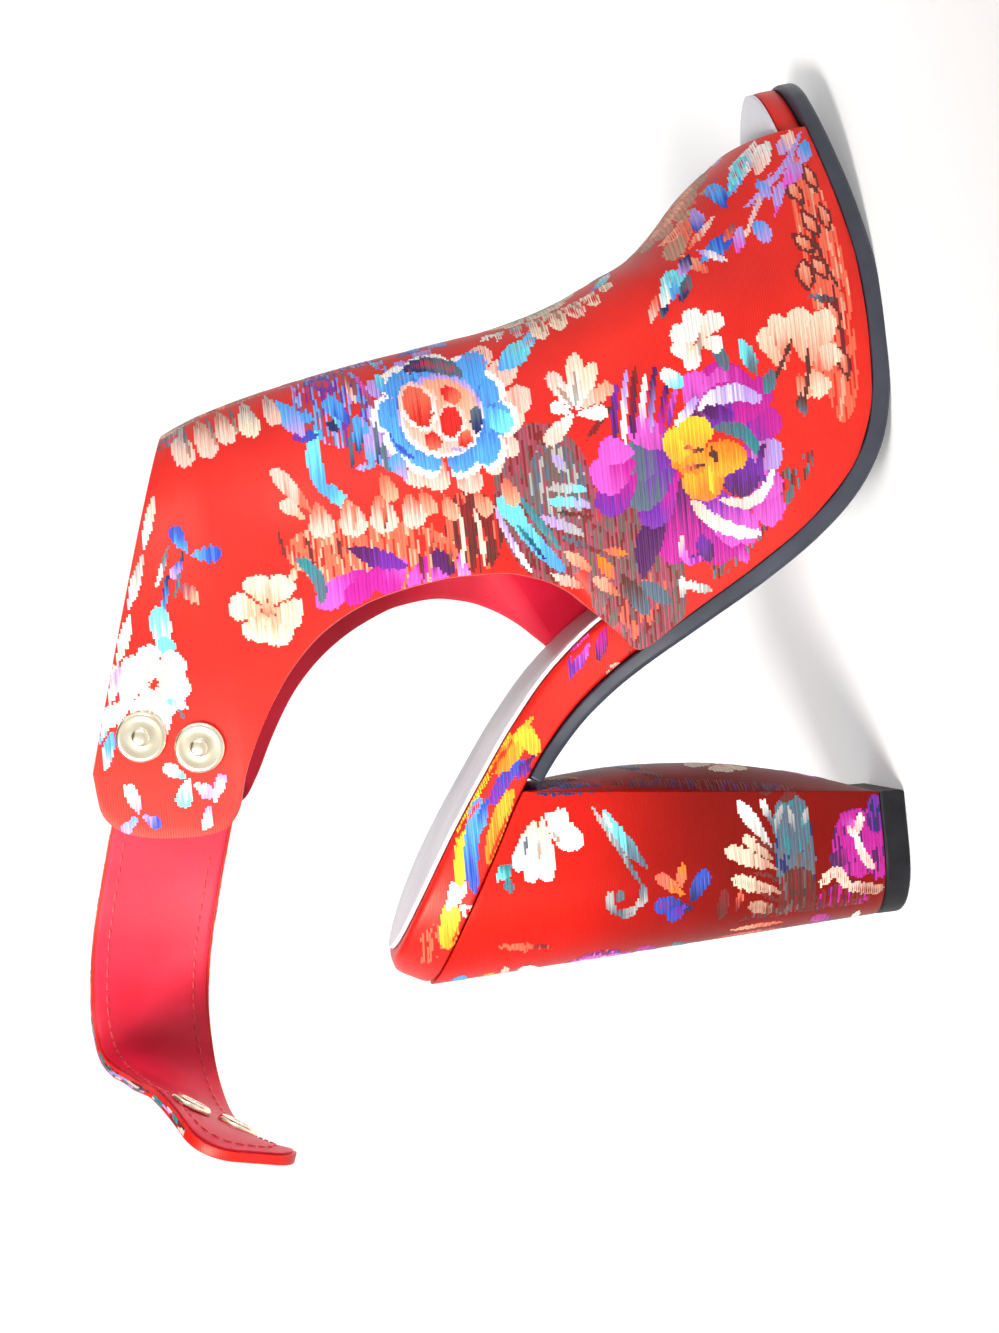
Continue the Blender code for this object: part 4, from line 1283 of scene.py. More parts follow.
CORAL_SPRIG = chart_rows("""
bar 120 11.4 184 15 9 -1.5 mix coral/coral/coral/none/coral/peach
bar 128 9.6 152 11 0.9 0 brown maroon
bar 150 9.4 176 15.4 0.9 1.2 brown maroon
leaf 150.4 16.4 158.4 17.2 4.4 0 brown maroon
leaf 151.3 16.5 157.5 17.1 2.8 0 coral peach
leaf 159.2 13.6 164.6 18.4 3.8 0 brown maroon
leaf 160.1 14.4 163.7 17.6 2.2 0 coral peach
leaf 163 12.2 170 15.4 3.6 0 brown maroon
leaf 163.9 12.6 169.1 15.0 2.0 0 coral peach
leaf 152.8 11.8 159 14.8 3.6 0 brown maroon
leaf 153.7 12.2 158.1 14.4 2.0 0 coral peach
leaf 164.4 9.6 171.6 10.8 3.4 0 brown maroon
leaf 165.3 9.8 170.7 10.7 1.8 0 coral peach
leaf 171 14.6 178.4 17.6 3.6 0 brown maroon
leaf 171.9 15.0 177.5 17.2 2.0 0 coral peach
leaf 174 10.8 181.4 12.8 3.2 0 brown maroon
leaf 174.9 11.0 180.5 12.6 1.6 0 coral peach
leaf 141 10.6 148.4 12.6 3.4 0 brown maroon
leaf 141.9 10.8 147.5 12.4 1.8 0 coral peach
leaf 130 9.6 137.6 11.2 3.2 0 brown maroon
leaf 130.9 9.8 136.7 11.0 1.6 0 coral peach
""")
TOE_SPRIG = chart_rows("""
bar 190 11.4 172 27.6 1.3 1.5 lilac lilac
bar 185 14 169 21.6 1.1 0 lilac orchid
bar 180 20.4 163.6 29.4 1.1 0 lilac blush
leaf 169 25.8 162.6 23.6 3.8 0 sky lilac
leaf 168 29 161.4 30.8 2.8 0 lilac orchid
leaf 173 21.6 179 23.6 2.4 0 lilac sky
leaf 171 20.6 177.4 19 2.7 0 lilac lilac
leaf 176.4 17.6 182 13.2 4 0 orchid lilac
leaf 181.4 12.8 187.6 10.6 3.4 0 lilac sky
leaf 184 17.8 190.4 13 3.4 0 lilac blush
petal 175.6 30 190 22 5.6 0 sky white
petal 177 29.8 186 24.6 3 0 cyan cyan
leaf 180 23.4 189 19 3.6 0 blush white
petal 172.6 31.2 180 32.6 4.4 0 blue sky
leaf 168 37.6 175 37 3 0 blue lilac
leaf 164 41 171.6 33.6 1.6 0 coral blush
leaf 157.6 37.6 163 42.4 2.6 0 coral peach
petal 160.6 39 165.8 31.6 4.8 0 sky blue
leaf 159.6 33 163.8 39 1.8 0 white lilac
leaf 164.6 33 169 30 2 0 coral mauve
""")
TOE_FAN = chart_rows("""
petal 172 37.6 162.6 45.4 4.8 0 coral tan
petal 173 38 167.6 46.4 4.8 0 coral peach
petal 174.6 37 172.6 44.4 4.6 0 tan peach
petal 176.4 36 178 41 4.2 0 coral tan
petal 178 34 183.6 36 3.8 0 tan peach
""")
BLUE_BUD = chart_rows("""
leaf 147.4 52 153.6 49.6 2.2 0 blush coral
leaf 147.6 49.8 151.4 47.8 1.7 0 slate navy
petal 150.4 49 159.4 44.8 4.8 0 white cyan
petal 152 46.8 158.8 43.4 3.4 0 sky cyan
leaf 151.4 44.8 158 41.8 2.5 0 navy slate
leaf 157.4 43.8 163.4 40.8 2.6 0 lilac navy
""")
RIDGE_SCALLOPS = chart_rows("""
leaf 148.6 89.6 156 80 3.6 0 white grey
leaf 147.6 86 154.6 83.6 2.2 0 white grey
petal 155.6 82.6 148.4 80.6 3.8 0 slate grey
petal 157 78.6 146.8 75.4 5 0 grey cream
petal 158.6 74.6 148.8 70.8 5.4 0 grey cream
petal 160.6 70.4 151.4 66.4 5.2 0 grey blush
petal 162 66.4 153.6 62.6 4.6 0 tan cream
petal 163.6 63 157.2 59 4 0 tan cream
bar 157 77 149 75.2 0.6 0 slate tan
bar 158 73 151 70.6 0.6 0 slate tan
bar 160 69.4 153.4 66.2 0.6 0 slate tan
""")
WHITE_SPRAY = chart_rows("""
leaf 130 62.4 121.6 69.6 1.6 0 brown maroon
petal 129 71 142.4 69.8 4.8 0 white cream
petal 129 71.6 138.4 76 4.6 0 white blush
petal 129 70.4 139.6 66 4.4 0 white cream
petal 129 70 134 62.4 4.4 0 blush peach
petal 128 71 127.6 64 4.2 0 white white
petal 128 71.6 121.8 78.6 4.8 0 white blush
petal 128 72 130.8 76.6 3.6 0 white white
bar 130 70.8 138 70.2 0.6 0 grey tan
bar 129.6 71.6 135 74.4 0.6 0 grey tan
""")
ASTER = chart_rows("""
disc 126 120 147 131 17 0 mix violet/mauve/lilac/sky/none/mauve
bar 119 113 133 119 6 0 mix sky/lilac/none/slate
ring petal 131 101 10 19.6 9 148 200 7.0 coral blush
ring petal 131 101 10 18 5 8 118 6.2 violet lilac
ring petal 131 101 6 16.4 10 10 360 10.6 lilac white
ring petal 131 101 5 14.8 10 10 360 9.8 blue sky
petal 134 95 146 91.6 7.6 0 sky sky
petal 132 92 126 86 6.2 0 sky cyan
bar 121 108.6 131 113.4 1.2 1.4 blue blue
bar 143.4 108.4 140.4 95 4.2 1.8 navy slate
disc 121 101 141.2 101.8 19.4 0 white lilac
disc 122 100.6 140 101.8 17.2 0 blush peach
disc 127.8 104.6 139.6 108 8.4 0 white blush
disc 128.6 104.8 138.8 107.6 6.4 0 red coral
disc 124.6 99.6 133.8 98.8 6.6 0 white blush
disc 125.6 99.6 133 99 5 0 red red
disc 122.8 103.4 127.4 104.2 3.8 0 coral red
disc 122.8 97 126.8 96 3.4 0 red coral
disc 133.8 96.8 138 100 3.6 0 coral red
disc 126 93.6 132.6 93.4 2.8 0 navy slate
bar 126 102 131 103.6 0.9 0.4 white cream
bar 131.6 103.4 138 102.6 0.9 -0.6 white blush
bar 124 94 122.6 100 0.9 0.6 white lilac
""")
ASTER_LEAVES = chart_rows("""
bar 111.6 124.6 117 129.8 3.4 0 cyan sky
bar 115 129.8 130 130.6 3.6 1 sky cyan
bar 121 118.2 128.4 118.8 2.6 0 sky lilac
bar 124 121 133 120.6 2.2 0 navy sky
bar 120.6 117 131 116.4 1 0 navy slate
bar 120.4 122.8 130 122.4 0.9 0 navy slate
bar 120 122 121 117.4 1.2 0 lilac sky
leaf 133.8 137.6 133.4 130 3.2 0 blue sky
leaf 129.2 136 129 129.4 3 0 violet blue
disc 129.6 125 132 127.2 2.2 0 navy navy
bar 130.4 124.6 135 125.2 1.4 0 sky cyan
bar 138.2 113.7 142.8 114.6 2.2 0 sky cyan
petal 118.6 116.4 111.8 114.6 5 0 coral peach
petal 113.8 108 107.8 106 4.8 0 coral peach
petal 112.2 103 106.4 101 4.4 0 coral peach
petal 112.4 95.6 106.6 93 4.6 0 coral peach
petal 115 89 108.4 86.8 4.4 0 coral peach
petal 116.4 110.8 122.6 113.6 4.4 0 lilac sky
petal 124.6 111.6 132 112.8 3.4 0 sky sky
leaf 129 133 139 138.6 4.8 0 lilac sky
petal 131 122 138 127.4 4.8 0 blue sky
leaf 139.4 124.6 145.4 131.4 4 0 violet blue
leaf 143.6 112.4 149.4 116.4 3 0 sky cyan
bar 134 116.4 143 119.4 1.3 0 mauve orchid
bar 136 120.4 145 123 1.3 0 blush mauve
leaf 140.2 87 147.4 78.4 5.4 0 sky cyan
leaf 144 81 150 77 2.8 0 cyan sky
petal 113.4 132 105 130.6 7 0 coral blush
petal 113.6 125 104.6 123.4 7.4 0 coral blush
petal 113.8 118 104.8 116.4 7.4 0 coral blush
petal 113.4 111.2 105.4 109.6 6.6 0 coral blush
petal 111 133 122 141 4.6 0 coral blush
petal 109.6 134.6 114.4 139.8 3.8 0 peach blush
bar 106 117 113 116.2 0.7 0 brown coral
bar 106 124 112 123.6 0.6 0 tan coral
""")
BACK_ARC = chart_rows("""
disc 90 79 127 81 23 0 mix maroon/mauve/mauve/dusk/maroon/mauve
disc 102 76 122 78 13 0 mix slate/grey/dusk/mauve
disc 70 60 108 62 22 0 mix dusk/mauve/dusk/maroon/mauve/dusk
bar 74 66 90 56 8 0 mix coral/mauve/maroon/none
bar 88 44 114 19 6 0 mix dusk/teal/none/maroon/none
disc 94 97 113 97 13 0 mix maroon/brown/coral/none/maroon
disc 92.4 121 108 119 40 0 mix coral/coral/coral/peach/none
disc 92 46 112 56 15 0 mix violet/plum/magenta/orchid
petal 97 122 89.6 134 7 0 magenta orchid
petal 98 116 90 127.4 6.4 0 magenta magenta
petal 98.6 113 91 119 6.6 0 orchid magenta
leaf 102 126 96.4 112.4 4.4 0 plum violet
petal 99 108.4 91 112.2 5 0 magenta orchid
petal 100 104.6 91 106.4 4.8 0 plum orchid
disc 94.4 102.4 99.8 106.8 4 0 plum plum
petal 98.6 101 92 100 3.6 0 orchid lilac
bar 101.4 139.8 107.6 141.2 0.9 0 maroon brown
bar 98.6 133.6 105.4 134.8 0.9 0 maroon brown
bar 100 127.4 105 127.8 0.8 0 maroon brown
bar 93.6 109.4 99.2 109.8 0.9 0 maroon brown
bar 90 132.6 101 137.6 3 -1.8 slate teal
bar 95 100.6 110 100.4 1.1 -0.8 cream blush
bar 96 98.2 110 98.6 2.3 -0.8 brown maroon
bar 95 95.6 109 96.6 1.1 -0.6 cream blush
bar 97 93.4 107 94.6 1.9 -0.6 brown maroon
bar 96 103.2 107 102.8 1.2 -0.4 brown coral
bar 99 107.2 106 106.2 1 0 maroon coral
bar 97.4 77.8 110.4 85.8 1.7 0 teal teal
bar 92.4 77.2 110.8 89.8 3.6 1 sky cyan
disc 103.4 85.2 110.8 90.8 4.6 0 cyan cyan
bar 92.8 84.8 108.4 91.6 1.5 0.6 white lilac
bar 95.4 81.4 104 87 0.9 0 navy teal
bar 100.4 72.2 105.2 81.4 2.2 0 grey lilac
bar 107 70 108.8 79.4 2.3 0 lilac cyan
bar 110.6 70.6 111.6 79 2 0 cyan grey
bar 104 69.6 106.2 77.4 1 0 maroon brown
leaf 114.6 74.4 119 77.4 2.2 0 grey lilac
bar 96 68.4 100.2 77.2 1.3 0 maroon slate
leaf 86 65.4 90.8 71.4 2.7 0 coral peach
leaf 89.4 66 95.4 69.8 2.8 0 coral orange
leaf 92 71 97.2 77 2.6 0 coral peach
leaf 88 73 92.2 80.6 2.4 0 coral blush
leaf 95 62.6 96.6 68 2 0 orange coral
leaf 80 58.6 90.6 64.4 4 0 slate brown
leaf 83 53.6 88.4 60.4 4 0 slate slate
bar 84.2 51.2 89 50.6 1.8 0 grey white
bar 87 50.6 85.2 44.2 2.2 0 white grey
""")
QUARTER_BLOSSOM = chart_rows("""
ring petal 90 145 1.2 8.6 6 20 360 7.6 peach cream
disc 88.4 145 91.6 145 2.8 0 coral peach
leaf 95 140 99 137.4 2 0 blush peach
""")
BLUE_SPRIG = chart_rows("""
bar 105 162.6 95 165.4 0.9 0 navy slate
petal 104 161 103.6 154.2 4.6 0 sky blue
petal 104.6 162 110.8 164.8 4 0 sky blue
petal 103 163 99.2 166 2.6 0 blue lilac
leaf 92.6 160 97.8 164 3.2 0 peach mauve
leaf 97 169.6 106.4 165.8 1.3 0 white slate
""")
CYAN_SPRIG = chart_rows("""
bar 90 168.6 100.4 166.6 1.2 0 sky navy
petal 80.2 168.4 93 169.6 5.6 0 white cyan
disc 81.4 168.4 86 168.2 4 0 cyan cyan
petal 73 174 63.6 178 6.4 0 white cream
petal 72 170 64 171.6 5.2 0 white white
petal 74 176 67 184.6 5.2 0 cream white
ring petal 75.6 171.8 0.8 8.6 7 0 360 7 cream white
petal 74 176 80.4 181.6 5 0 white blush
bar 70 175.4 66 180 0.8 0 grey slate
bar 71.6 168.4 67.4 166 0.8 0.4 teal slate
leaf 71.6 169.6 69.8 164.6 2.4 0 cyan white
""")
# The first six leaves, pale and mostly white, run along the collar's folded rim and paint its highlight. The
# petals and bars after them are scallops of the pattern on the ridge.
COLLAR_HIGHLIGHT_AND_SCALLOPS = chart_rows("""
leaf 57 184.6 66.4 182 2.6 0 blush sky
leaf 63.4 185 71 182.8 2.4 0 sky white
leaf 72 182 81 179 2.4 0 white lilac
leaf 81 179.4 92 175.6 2.6 0 blush white
leaf 93 176 105 171.8 2.4 0 white grey
leaf 106 171.8 119 168 2.2 0 white blush
petal 136 162.4 124.6 160.2 6.2 0 grey blush
petal 136.6 157.4 126.2 154.4 5.8 0 tan blush
petal 138 152.4 129.2 150 5.6 0 tan blush
petal 139.6 146.4 130.2 144.6 5.8 0 grey cream
petal 140.6 141 132.6 138.8 4.8 0 grey blush
leaf 129.6 166.6 137 160 3.4 0 slate grey
bar 135 160.6 127 159.4 0.6 0 slate tan
bar 136.6 155 129 153 0.6 0 slate tan
bar 138 149.4 131.6 148 0.6 0 slate tan
""")
TAB_LEAVES = chart_rows("""
petal 47 177.6 54 179.8 3.6 0 lilac white
petal 46.6 178 43 182 3 0 sky lilac
petal 46.6 177 44 173.2 3.2 0 lilac blue
petal 54 166 47.4 168.2 4.4 0 white cyan
petal 54 166.6 57.2 171.4 3.6 0 cyan white
petal 53 165 49.2 161 3.6 0 white lilac
petal 47.6 162 42 163.4 3 0 lilac white
petal 48 161 54 158.4 3.2 0 white lilac
""")
OUTER_SIDE = (
    BACK_ARC + ASTER + ASTER_LEAVES + PEONY + WHITE_SPRAY + WHITE_BLOSSOM + CORAL_SPRIG + CREAM_SPRAY
    + TOE_FAN + TOE_SPRIG + BLUE_BUD + RIDGE_SCALLOPS + QUARTER_BLOSSOM + BLUE_SPRIG + CYAN_SPRIG
    + COLLAR_HIGHLIGHT_AND_SCALLOPS + TAB_LEAVES
)
lay = lay_from(upper, INNER, AHEAD, deepest=4.0, suits=turned_to(OUTER, SIDE_FACING))
weave("flowers_outer_side", OUTER_SIDE, lay, seed=1)

# %% [markdown]
# ## Flowers of the heel and the rand
#
# The heel's cover and the strip round the insole are cut from the same cloth, at other places of its repeat.
# The heel has a chart for its side, its back and its breast, each seen square on, and the ones for the side
# and the strip serve both sides of the shoe. One chart wrapped right round the heel could do it, but it would
# have to be drawn on a cone. Each chart ends where the cloth turns away from it.

# %% Charts of the heel and the rand
# The dark mixed bars along the heel's back edge and its low back corner (the first line, and those from 6.2
# 42, 4 27.6 and 6 16) are partly the cloth's dark threads and partly painted shade.
HEEL_SIDE = chart_rows("""
bar 3.4 94 4.6 26 3.6 0 mix brown/maroon/none/slate/none
petal 36.4 89 25.4 93.8 6.2 0.4 cream white
petal 36.2 88.6 22.2 91 5 0 cream white
petal 37 87 21.8 87.2 5.6 0 cream white
petal 38 86 29 78.8 7.4 -0.4 white white
petal 36 86 36.8 81 5 0 white white
bar 33 90.9 29 91.8 0.8 0 slate slate
bar 32 88 27 88.8 0.6 0 grey tan
bar 33.4 84.6 30.4 83.6 0.6 0 grey tan
leaf 23.4 98.6 27.4 95.2 3.2 0 cyan teal
leaf 20 95.8 24 96.4 2.2 0 slate teal
leaf 22.6 63.2 37.6 73 3.6 0.8 slate cyan
bar 31 70.4 36.6 72.6 1 0 cyan white
bar 18.6 65 38.2 75.2 1.2 0 slate grey
bar 19 64.8 13.6 66.4 2.2 0.8 slate grey
bar 13.6 66.4 12.6 71.4 2.4 0.6 grey slate
bar 12.6 71.4 18.2 72.6 2.2 0.8 slate grey
disc 15.4 70.4 18 70.4 2.2 0 slate slate
petal 12 53 13.8 62.4 5 0 navy blue
petal 13 54 20.6 49.4 4.6 0 navy blue
petal 13 54.6 9.4 59 3.6 0 violet blue
petal 15.2 55 20.6 61.4 3.6 0 orange coral
leaf 17 56 23 55 2.4 0 coral orange
leaf 8 46.4 16.4 45.2 2.8 0 brown maroon
leaf 10 42.6 15 41.4 1.8 0 maroon coral
bar 6.2 42 6.6 8 7 0 mix brown/maroon/dusk/maroon/none
bar 5 27.8 36.6 28 9.6 0 mix slate/dusk/slate/navy
bar 22 28 36 28 8.6 0 mix slate/teal/slate/slate
bar 4 27.6 19 28 9.4 0 mix brown/dusk/brown/maroon
leaf 27 32.8 34 30 1.7 0 slate grey
leaf 26.6 27.4 33.4 28.6 1.5 0 slate grey
leaf 27.4 26 33 23.8 1.5 0 teal grey
petal 29 32.4 35.8 35 2.2 0 slate white
petal 24 33.4 35.8 40.6 3.9 0 grey white
petal 19 32.6 25 44.6 4.8 0 tan cream
petal 21.4 33.4 27.4 40 3.4 0 tan cream
petal 13.2 31.6 17.8 43.6 4.2 0 tan cream
petal 8.4 31.4 11 39.6 3.8 0 brown tan
bar 23.4 33 26.4 37.4 1 0 brown maroon
bar 16.6 32.4 19 38.6 0.9 0 brown maroon
bar 11 32 13.8 37 0.9 0 brown maroon
disc 36.6 33.4 40.4 33.4 4.2 0 brown brown
leaf 34.6 30.4 37.4 26 2.6 0 brown maroon
bar 6 16 14 16.6 13 0 mix maroon/plum/magenta/maroon/none
disc 15 13.4 31.4 12 12 0 mix magenta/magenta/plum/magenta
bar 14 8 26 7.6 4.6 0 mix magenta/plum/magenta
bar 25 7.8 34 7.4 4 0 mix violet/plum/violet/navy
petal 22 14 18.6 19.4 5 0 magenta plum
petal 27 13 30.4 16 3.6 0 orchid magenta
bar 30 11.2 25.2 12.9 2 0.3 white blush
bar 25.4 12.9 16.2 9 2 -0.7 white blush
bar 27.2 14.8 24.6 13 1.5 0 blush white
bar 14 22.4 18 18.2 2.4 0 cream blush
bar 17.8 18.6 12.8 15.4 2.8 0 blush cream
bar 12.9 15.8 11.2 6.6 2.8 0 blush tan
leaf 5 84 8 100 2.2 0 maroon coral
bar 42.4 88 43 50 2.6 0 mix navy/maroon/navy/brown
""")
HEEL_BACK = chart_rows("""
bar -13 106 11 108 5 1 blue sky
bar -14 99 9 101 4.4 1 orange amber
bar -9 95.6 12 97.4 2.4 0.6 white blush
petal -3 88 10 93 5.4 0 peach white
leaf -12 87 -3 91.6 4.4 0 white blush
disc -12 73 12 75 18 0 mix violet/magenta/plum/orchid/none
ring petal 0 74 2 9 8 10 360 6 magenta orchid
ring leaf 0 74 3 8 8 32 360 1.3 blush white
disc -2.4 74 2.6 74 4.8 0 amber yellow
petal -3 60 -10 66 5.4 0 violet plum
petal 3 60 10 65 5.4 0 plum magenta
leaf -10 52 -3 58 3 0 teal slate
leaf 2 53 10 57 3 0 slate teal
leaf -9 28 -7 48 3 0 coral peach
leaf -4 24 -2.6 47 2.4 0 maroon coral
leaf 1 28 2 50 2.8 0 coral blush
leaf 6 25 7.4 46 2.6 0 brown coral
leaf 11 30 11 44 2.2 0 coral peach
petal -5 17 -11 24 5 0 magenta plum
petal 0 15 -1 25 5.4 0 orchid magenta
petal 5 17 11 23 5 0 plum magenta
bar -9 10.6 10 11.6 2.2 1 blush white
""")
HEEL_BREAST_CHART = chart_rows("""
bar -19.4 92 -19.4 72 5 0 mix navy/blue/none/maroon
bar -19.4 70 -18.8 26 5 0 mix maroon/brown/none/plum/maroon
disc -19 84 -9 88 16 0 mix navy/violet/none
leaf -14 76 -4 84 4 0 coral peach
petal 2 66 11 74 5.4 0 sky blue
petal -1 66 -9 61 5 0 blue navy
bar 0 66 5 56 1 0.6 slate teal
leaf 0 86 9 91 3.6 0 cyan teal
leaf 11 84 18 80 3 0 coral maroon
ring petal -4 42 1.2 7.8 6 0 360 6.6 blush cream
disc -5.6 42 -2.4 42 2.8 0 coral coral
leaf 4 33 13 29 3.2 0 brown maroon
leaf 5 52 14 48 3.6 0 lilac sky
leaf -16 56 -11 63 3 0 brown maroon
petal -8 18 0 25 5.4 0 magenta orchid
petal -2 17 8 14 5.4 0 violet magenta
petal 1 20 9 23 4.6 0 plum orchid
""")
RAND = chart_rows("""
bar 6 118 14 112 6 0 mix red/coral/none
bar 8.6 111.2 20 109.6 4.4 0 amber yellow
petal 18 110.6 24.4 106.6 5 0 white white
petal 19 107.6 16 105 3.4 0 white cream
bar 23 107.4 46 101 3.6 1 yellow yellow
bar 44 101.4 58 92.4 3 0.6 yellow yellow
bar 21 104 43 101 3.4 1.4 blue sky
leaf 34 102 43 99.2 2.2 0 sky blue
bar 30 99.4 36 98.6 1.6 0 lilac white
bar 27 100 44 93.4 3.8 0.8 orange amber
bar 41 98.4 50.6 89.6 3.2 1 violet blue
leaf 46 92.2 51.6 87 2.6 0 violet plum
bar 48 97 58 87.4 4.6 0 orange amber
disc 51.6 86.4 58 90.4 4.2 0 amber yellow
bar 55 92 60 87 1.4 0 yellow amber
leaf 68 77.8 78.4 72.6 4 0 violet orchid
leaf 71 71 79 68.6 2.6 0 plum magenta
leaf 70 64.4 76.6 57.6 4 0 maroon coral
leaf 66 70 71 66 2.2 0 coral blush
disc 73 60 88 58 9 0 mix mauve/slate/none
""")
HEEL_CORNER = 0.62  # part of a normal across the shoe where the heel's sides meet its back
BREAST_FACING, RAND_FACING = 0.5, 0.3


def turned_behind(normal):
    return abs(normal.y) <= HEEL_CORNER and normal.x < 0


lay = lay_from(heel, INNER, AHEAD, deepest=8.0, suits=turned_to(OUTER, HEEL_CORNER))
weave("flowers_heel_outer", HEEL_SIDE, lay, seed=2)
lay = lay_from(heel, OUTER, AHEAD, deepest=8.0, suits=turned_to(INNER, HEEL_CORNER))
weave("flowers_heel_inner", moved(HEEL_SIDE, (22, 60), (20, 58), 180, 1.0, True), lay, seed=3)
lay = lay_from(heel, AHEAD, OUTER, deepest=40.0, suits=turned_behind)
weave("flowers_heel_back", HEEL_BACK, lay, seed=4)
lay = lay_from(heel, BEHIND, INNER, deepest=0.0, suits=turned_to(AHEAD, BREAST_FACING))
weave("flowers_heel_breast", HEEL_BREAST_CHART, lay, seed=5)
lay = lay_from(insole, INNER, AHEAD, deepest=8.0, suits=turned_to(OUTER, RAND_FACING))
weave("flowers_rand_outer", RAND, lay, seed=6)
lay = lay_from(insole, OUTER, AHEAD, deepest=8.0, suits=turned_to(INNER, RAND_FACING))
weave("flowers_rand_inner", RAND, lay, seed=7)

# %% [markdown]
# ## Flowers of the front
#
# Over the instep and the toes the cloth faces ahead, where the side charts would be stretched out. It gets a
# chart of its own, seen from ahead and a little above, with x across the shoe. Seen from the side, its round
# flowers show as scallops along the ridge.

# %% Chart of the front
FRONT = chart_rows("""
ring petal -4 86 4 15.5 13 5 360 7.6 tan blush
ring bar -4 86 6.5 12.5 13 5 360 0.9 slate tan
disc -8 86 0 86 8 0 coral peach
disc -5.4 86 -2.6 86 2.8 0 brown maroon
leaf 11 96 17 90 3.4 0 cyan sky
leaf 12 88 18 84 3 0 slate teal
disc -22 46 2 56 20 0 mix violet/mauve/lilac/sky/none/mauve
leaf -12 62 -5 68 4 0 sky lilac
leaf -4 63 2 67 3 0 violet blue
ring petal 10 58 1.2 8.2 6 15 360 7.2 blush cream
disc 8.6 58 11.4 58 2.8 0 coral coral
bar 10 49 15 36 1 1 brown brown
leaf 13 43 19 46 3 0 brown slate
leaf 12 40 6 37 3 0 slate brown
petal -3 30 -10 38 5.4 0 sky blue
petal -2 30 5 36 5 0 blue sky
petal -2 29 -9 25 4.6 0 lilac sky
petal -1 29 5 25 4.2 0 cyan white
bar -2 30 -1 18 1 -0.8 navy slate
leaf -15 30 -9 21 4 0 white grey
leaf -18 24 -12 19 3 0 white cream
leaf 10 27 16 19 4 0 coral peach
ring petal 1 0 4 15 13 12 360 7.2 grey cream
ring bar 1 0 6.5 12 13 12 360 0.9 slate tan
disc -3 0 5 0 8 0 blush peach
disc -0.4 0 2.4 0 2.8 0 coral brown
leaf -19 -12 -13 -18 4 0 blue lilac
leaf 15 -14 21 -20 4 0 sky cyan
petal -9 -22 -15 -17 5 0 white cyan
petal -8 -23 -3 -18 4.4 0 sky cyan
leaf 3 -19 9 -24 3.4 0 coral blush
leaf 10 -24 17 -27 3 0 brown slate
ring petal -1 -45 4 15.5 14 0 360 7 coral tan
ring petal -1 -45 3 10.5 12 14 360 5.4 tan peach
disc -4.6 -45 2.6 -45 7.4 0 coral peach
disc -2.2 -45 0.2 -45 2.6 0 brown brown
petal -16 -58 -24 -53 5 0 blue sky
petal 14 -58 22 -53 5 0 sky white
leaf -9 -62 -2 -65 3.4 0 lilac blush
leaf 3 -64 10 -61 3.4 0 lilac sky
""")
DOWN_THE_RIDGE = (-0.9, 0, -0.44)
LEAST_AHEAD = -0.2


def turned_ahead(normal):
    return -SIDE_FACING <= normal.y <= INNER_FACING and normal.x > LEAST_AHEAD


lay = lay_from(upper, DOWN_THE_RIDGE, INNER, deepest=0.0, suits=turned_ahead)
weave("flowers_front", FRONT, lay, seed=10)

# %% [markdown]
# ## The sides that the photograph doesn't show
#
# A cloth repeats its flowers, so the inner side and the outside of the strap are woven from the same charts,
# moved, turned and cut off at other places, as they would fall when the pieces are cut from one length of
# brocade. The strap bends too much for rays from one side, so its chart is laid along its path.

# %% Inner side
INNER_SIDE = (
    moved(ASTER + ASTER_LEAVES, (131, 101), (119, 60), -24, 0.95)
    + moved(PEONY, (115, 44), (117, 124), 165, 0.95)
    + moved(WHITE_SPRAY, (128, 71), (141, 92), 20)
    + moved(CREAM_SPRAY, (136, 20), (154, 26), 15)
    + moved(WHITE_BLOSSOM, (141.5, 42.3), (152, 60))
    + moved(CORAL_SPRIG, (160, 13), (128, 22), 10)
    + moved(CREAM_SPRAY, (136, 20), (104, 30), 70, 0.9)
    + moved(TOE_SPRIG, (176, 25), (172, 26), 8)
    + moved(QUARTER_BLOSSOM, (90, 145), (73, 163))
    + moved(BLUE_SPRIG, (104, 161), (92, 163), -30)
    + moved(BACK_ARC[-12:], (90, 62), (96, 92), 60)
    # The painted highlight along the collar's rim is copied to this side too.
    + COLLAR_HIGHLIGHT_AND_SCALLOPS[:6] + TAB_LEAVES
)
lay = lay_from(upper, OUTER, AHEAD, deepest=4.0, suits=turned_to(INNER, INNER_FACING))
weave("flowers_inner_side", INNER_SIDE, lay, seed=8)

# %% Outside of the strap
STRAP_SEAM = 1.0  # millimetres of bare cloth at the strap's seam
STRAP_MARGIN = 0.7  # and inside its edges
STRAP_EDGE = (0.3, 1.9)  # part of its thickness that is woven, measured from the outer face


def lay_on_strap(flat):
    """Flat points laid on the strap's outer face: x is the distance along it and z the distance across.
    What is wider than the strap turns over its edge."""
    along = np.clip(flat[:, 0], 0, STRAP_LENGTH)
    half = strap_half(along, 0.0)
    over = np.maximum(np.abs(flat[:, 1]) - half, 0.0)
    across = np.clip(flat[:, 1], -half, half)
    spots, out = on_strap(flat[:, 0], across, STRAP_THICKNESS / 2 - over)
    beside = on_strap(flat[:, 0], across + np.sign(across), STRAP_THICKNESS / 2 - over)[0]
    out = np.where((over > 0)[:, None], beside - spots, out)
    to_end = STRAP_LENGTH - flat[:, 0]
    on_face = (np.abs(flat[:, 1]) < strap_half(along, STRAP_MARGIN)) & (to_end > STRAP_MARGIN)
    on_edge = (over > STRAP_EDGE[0]) & (over < STRAP_EDGE[1]) & (to_end > STRAP_CORNER)
    return in_frame(spots), out, (flat[:, 0] > STRAP_SEAM) & (on_face | on_edge)


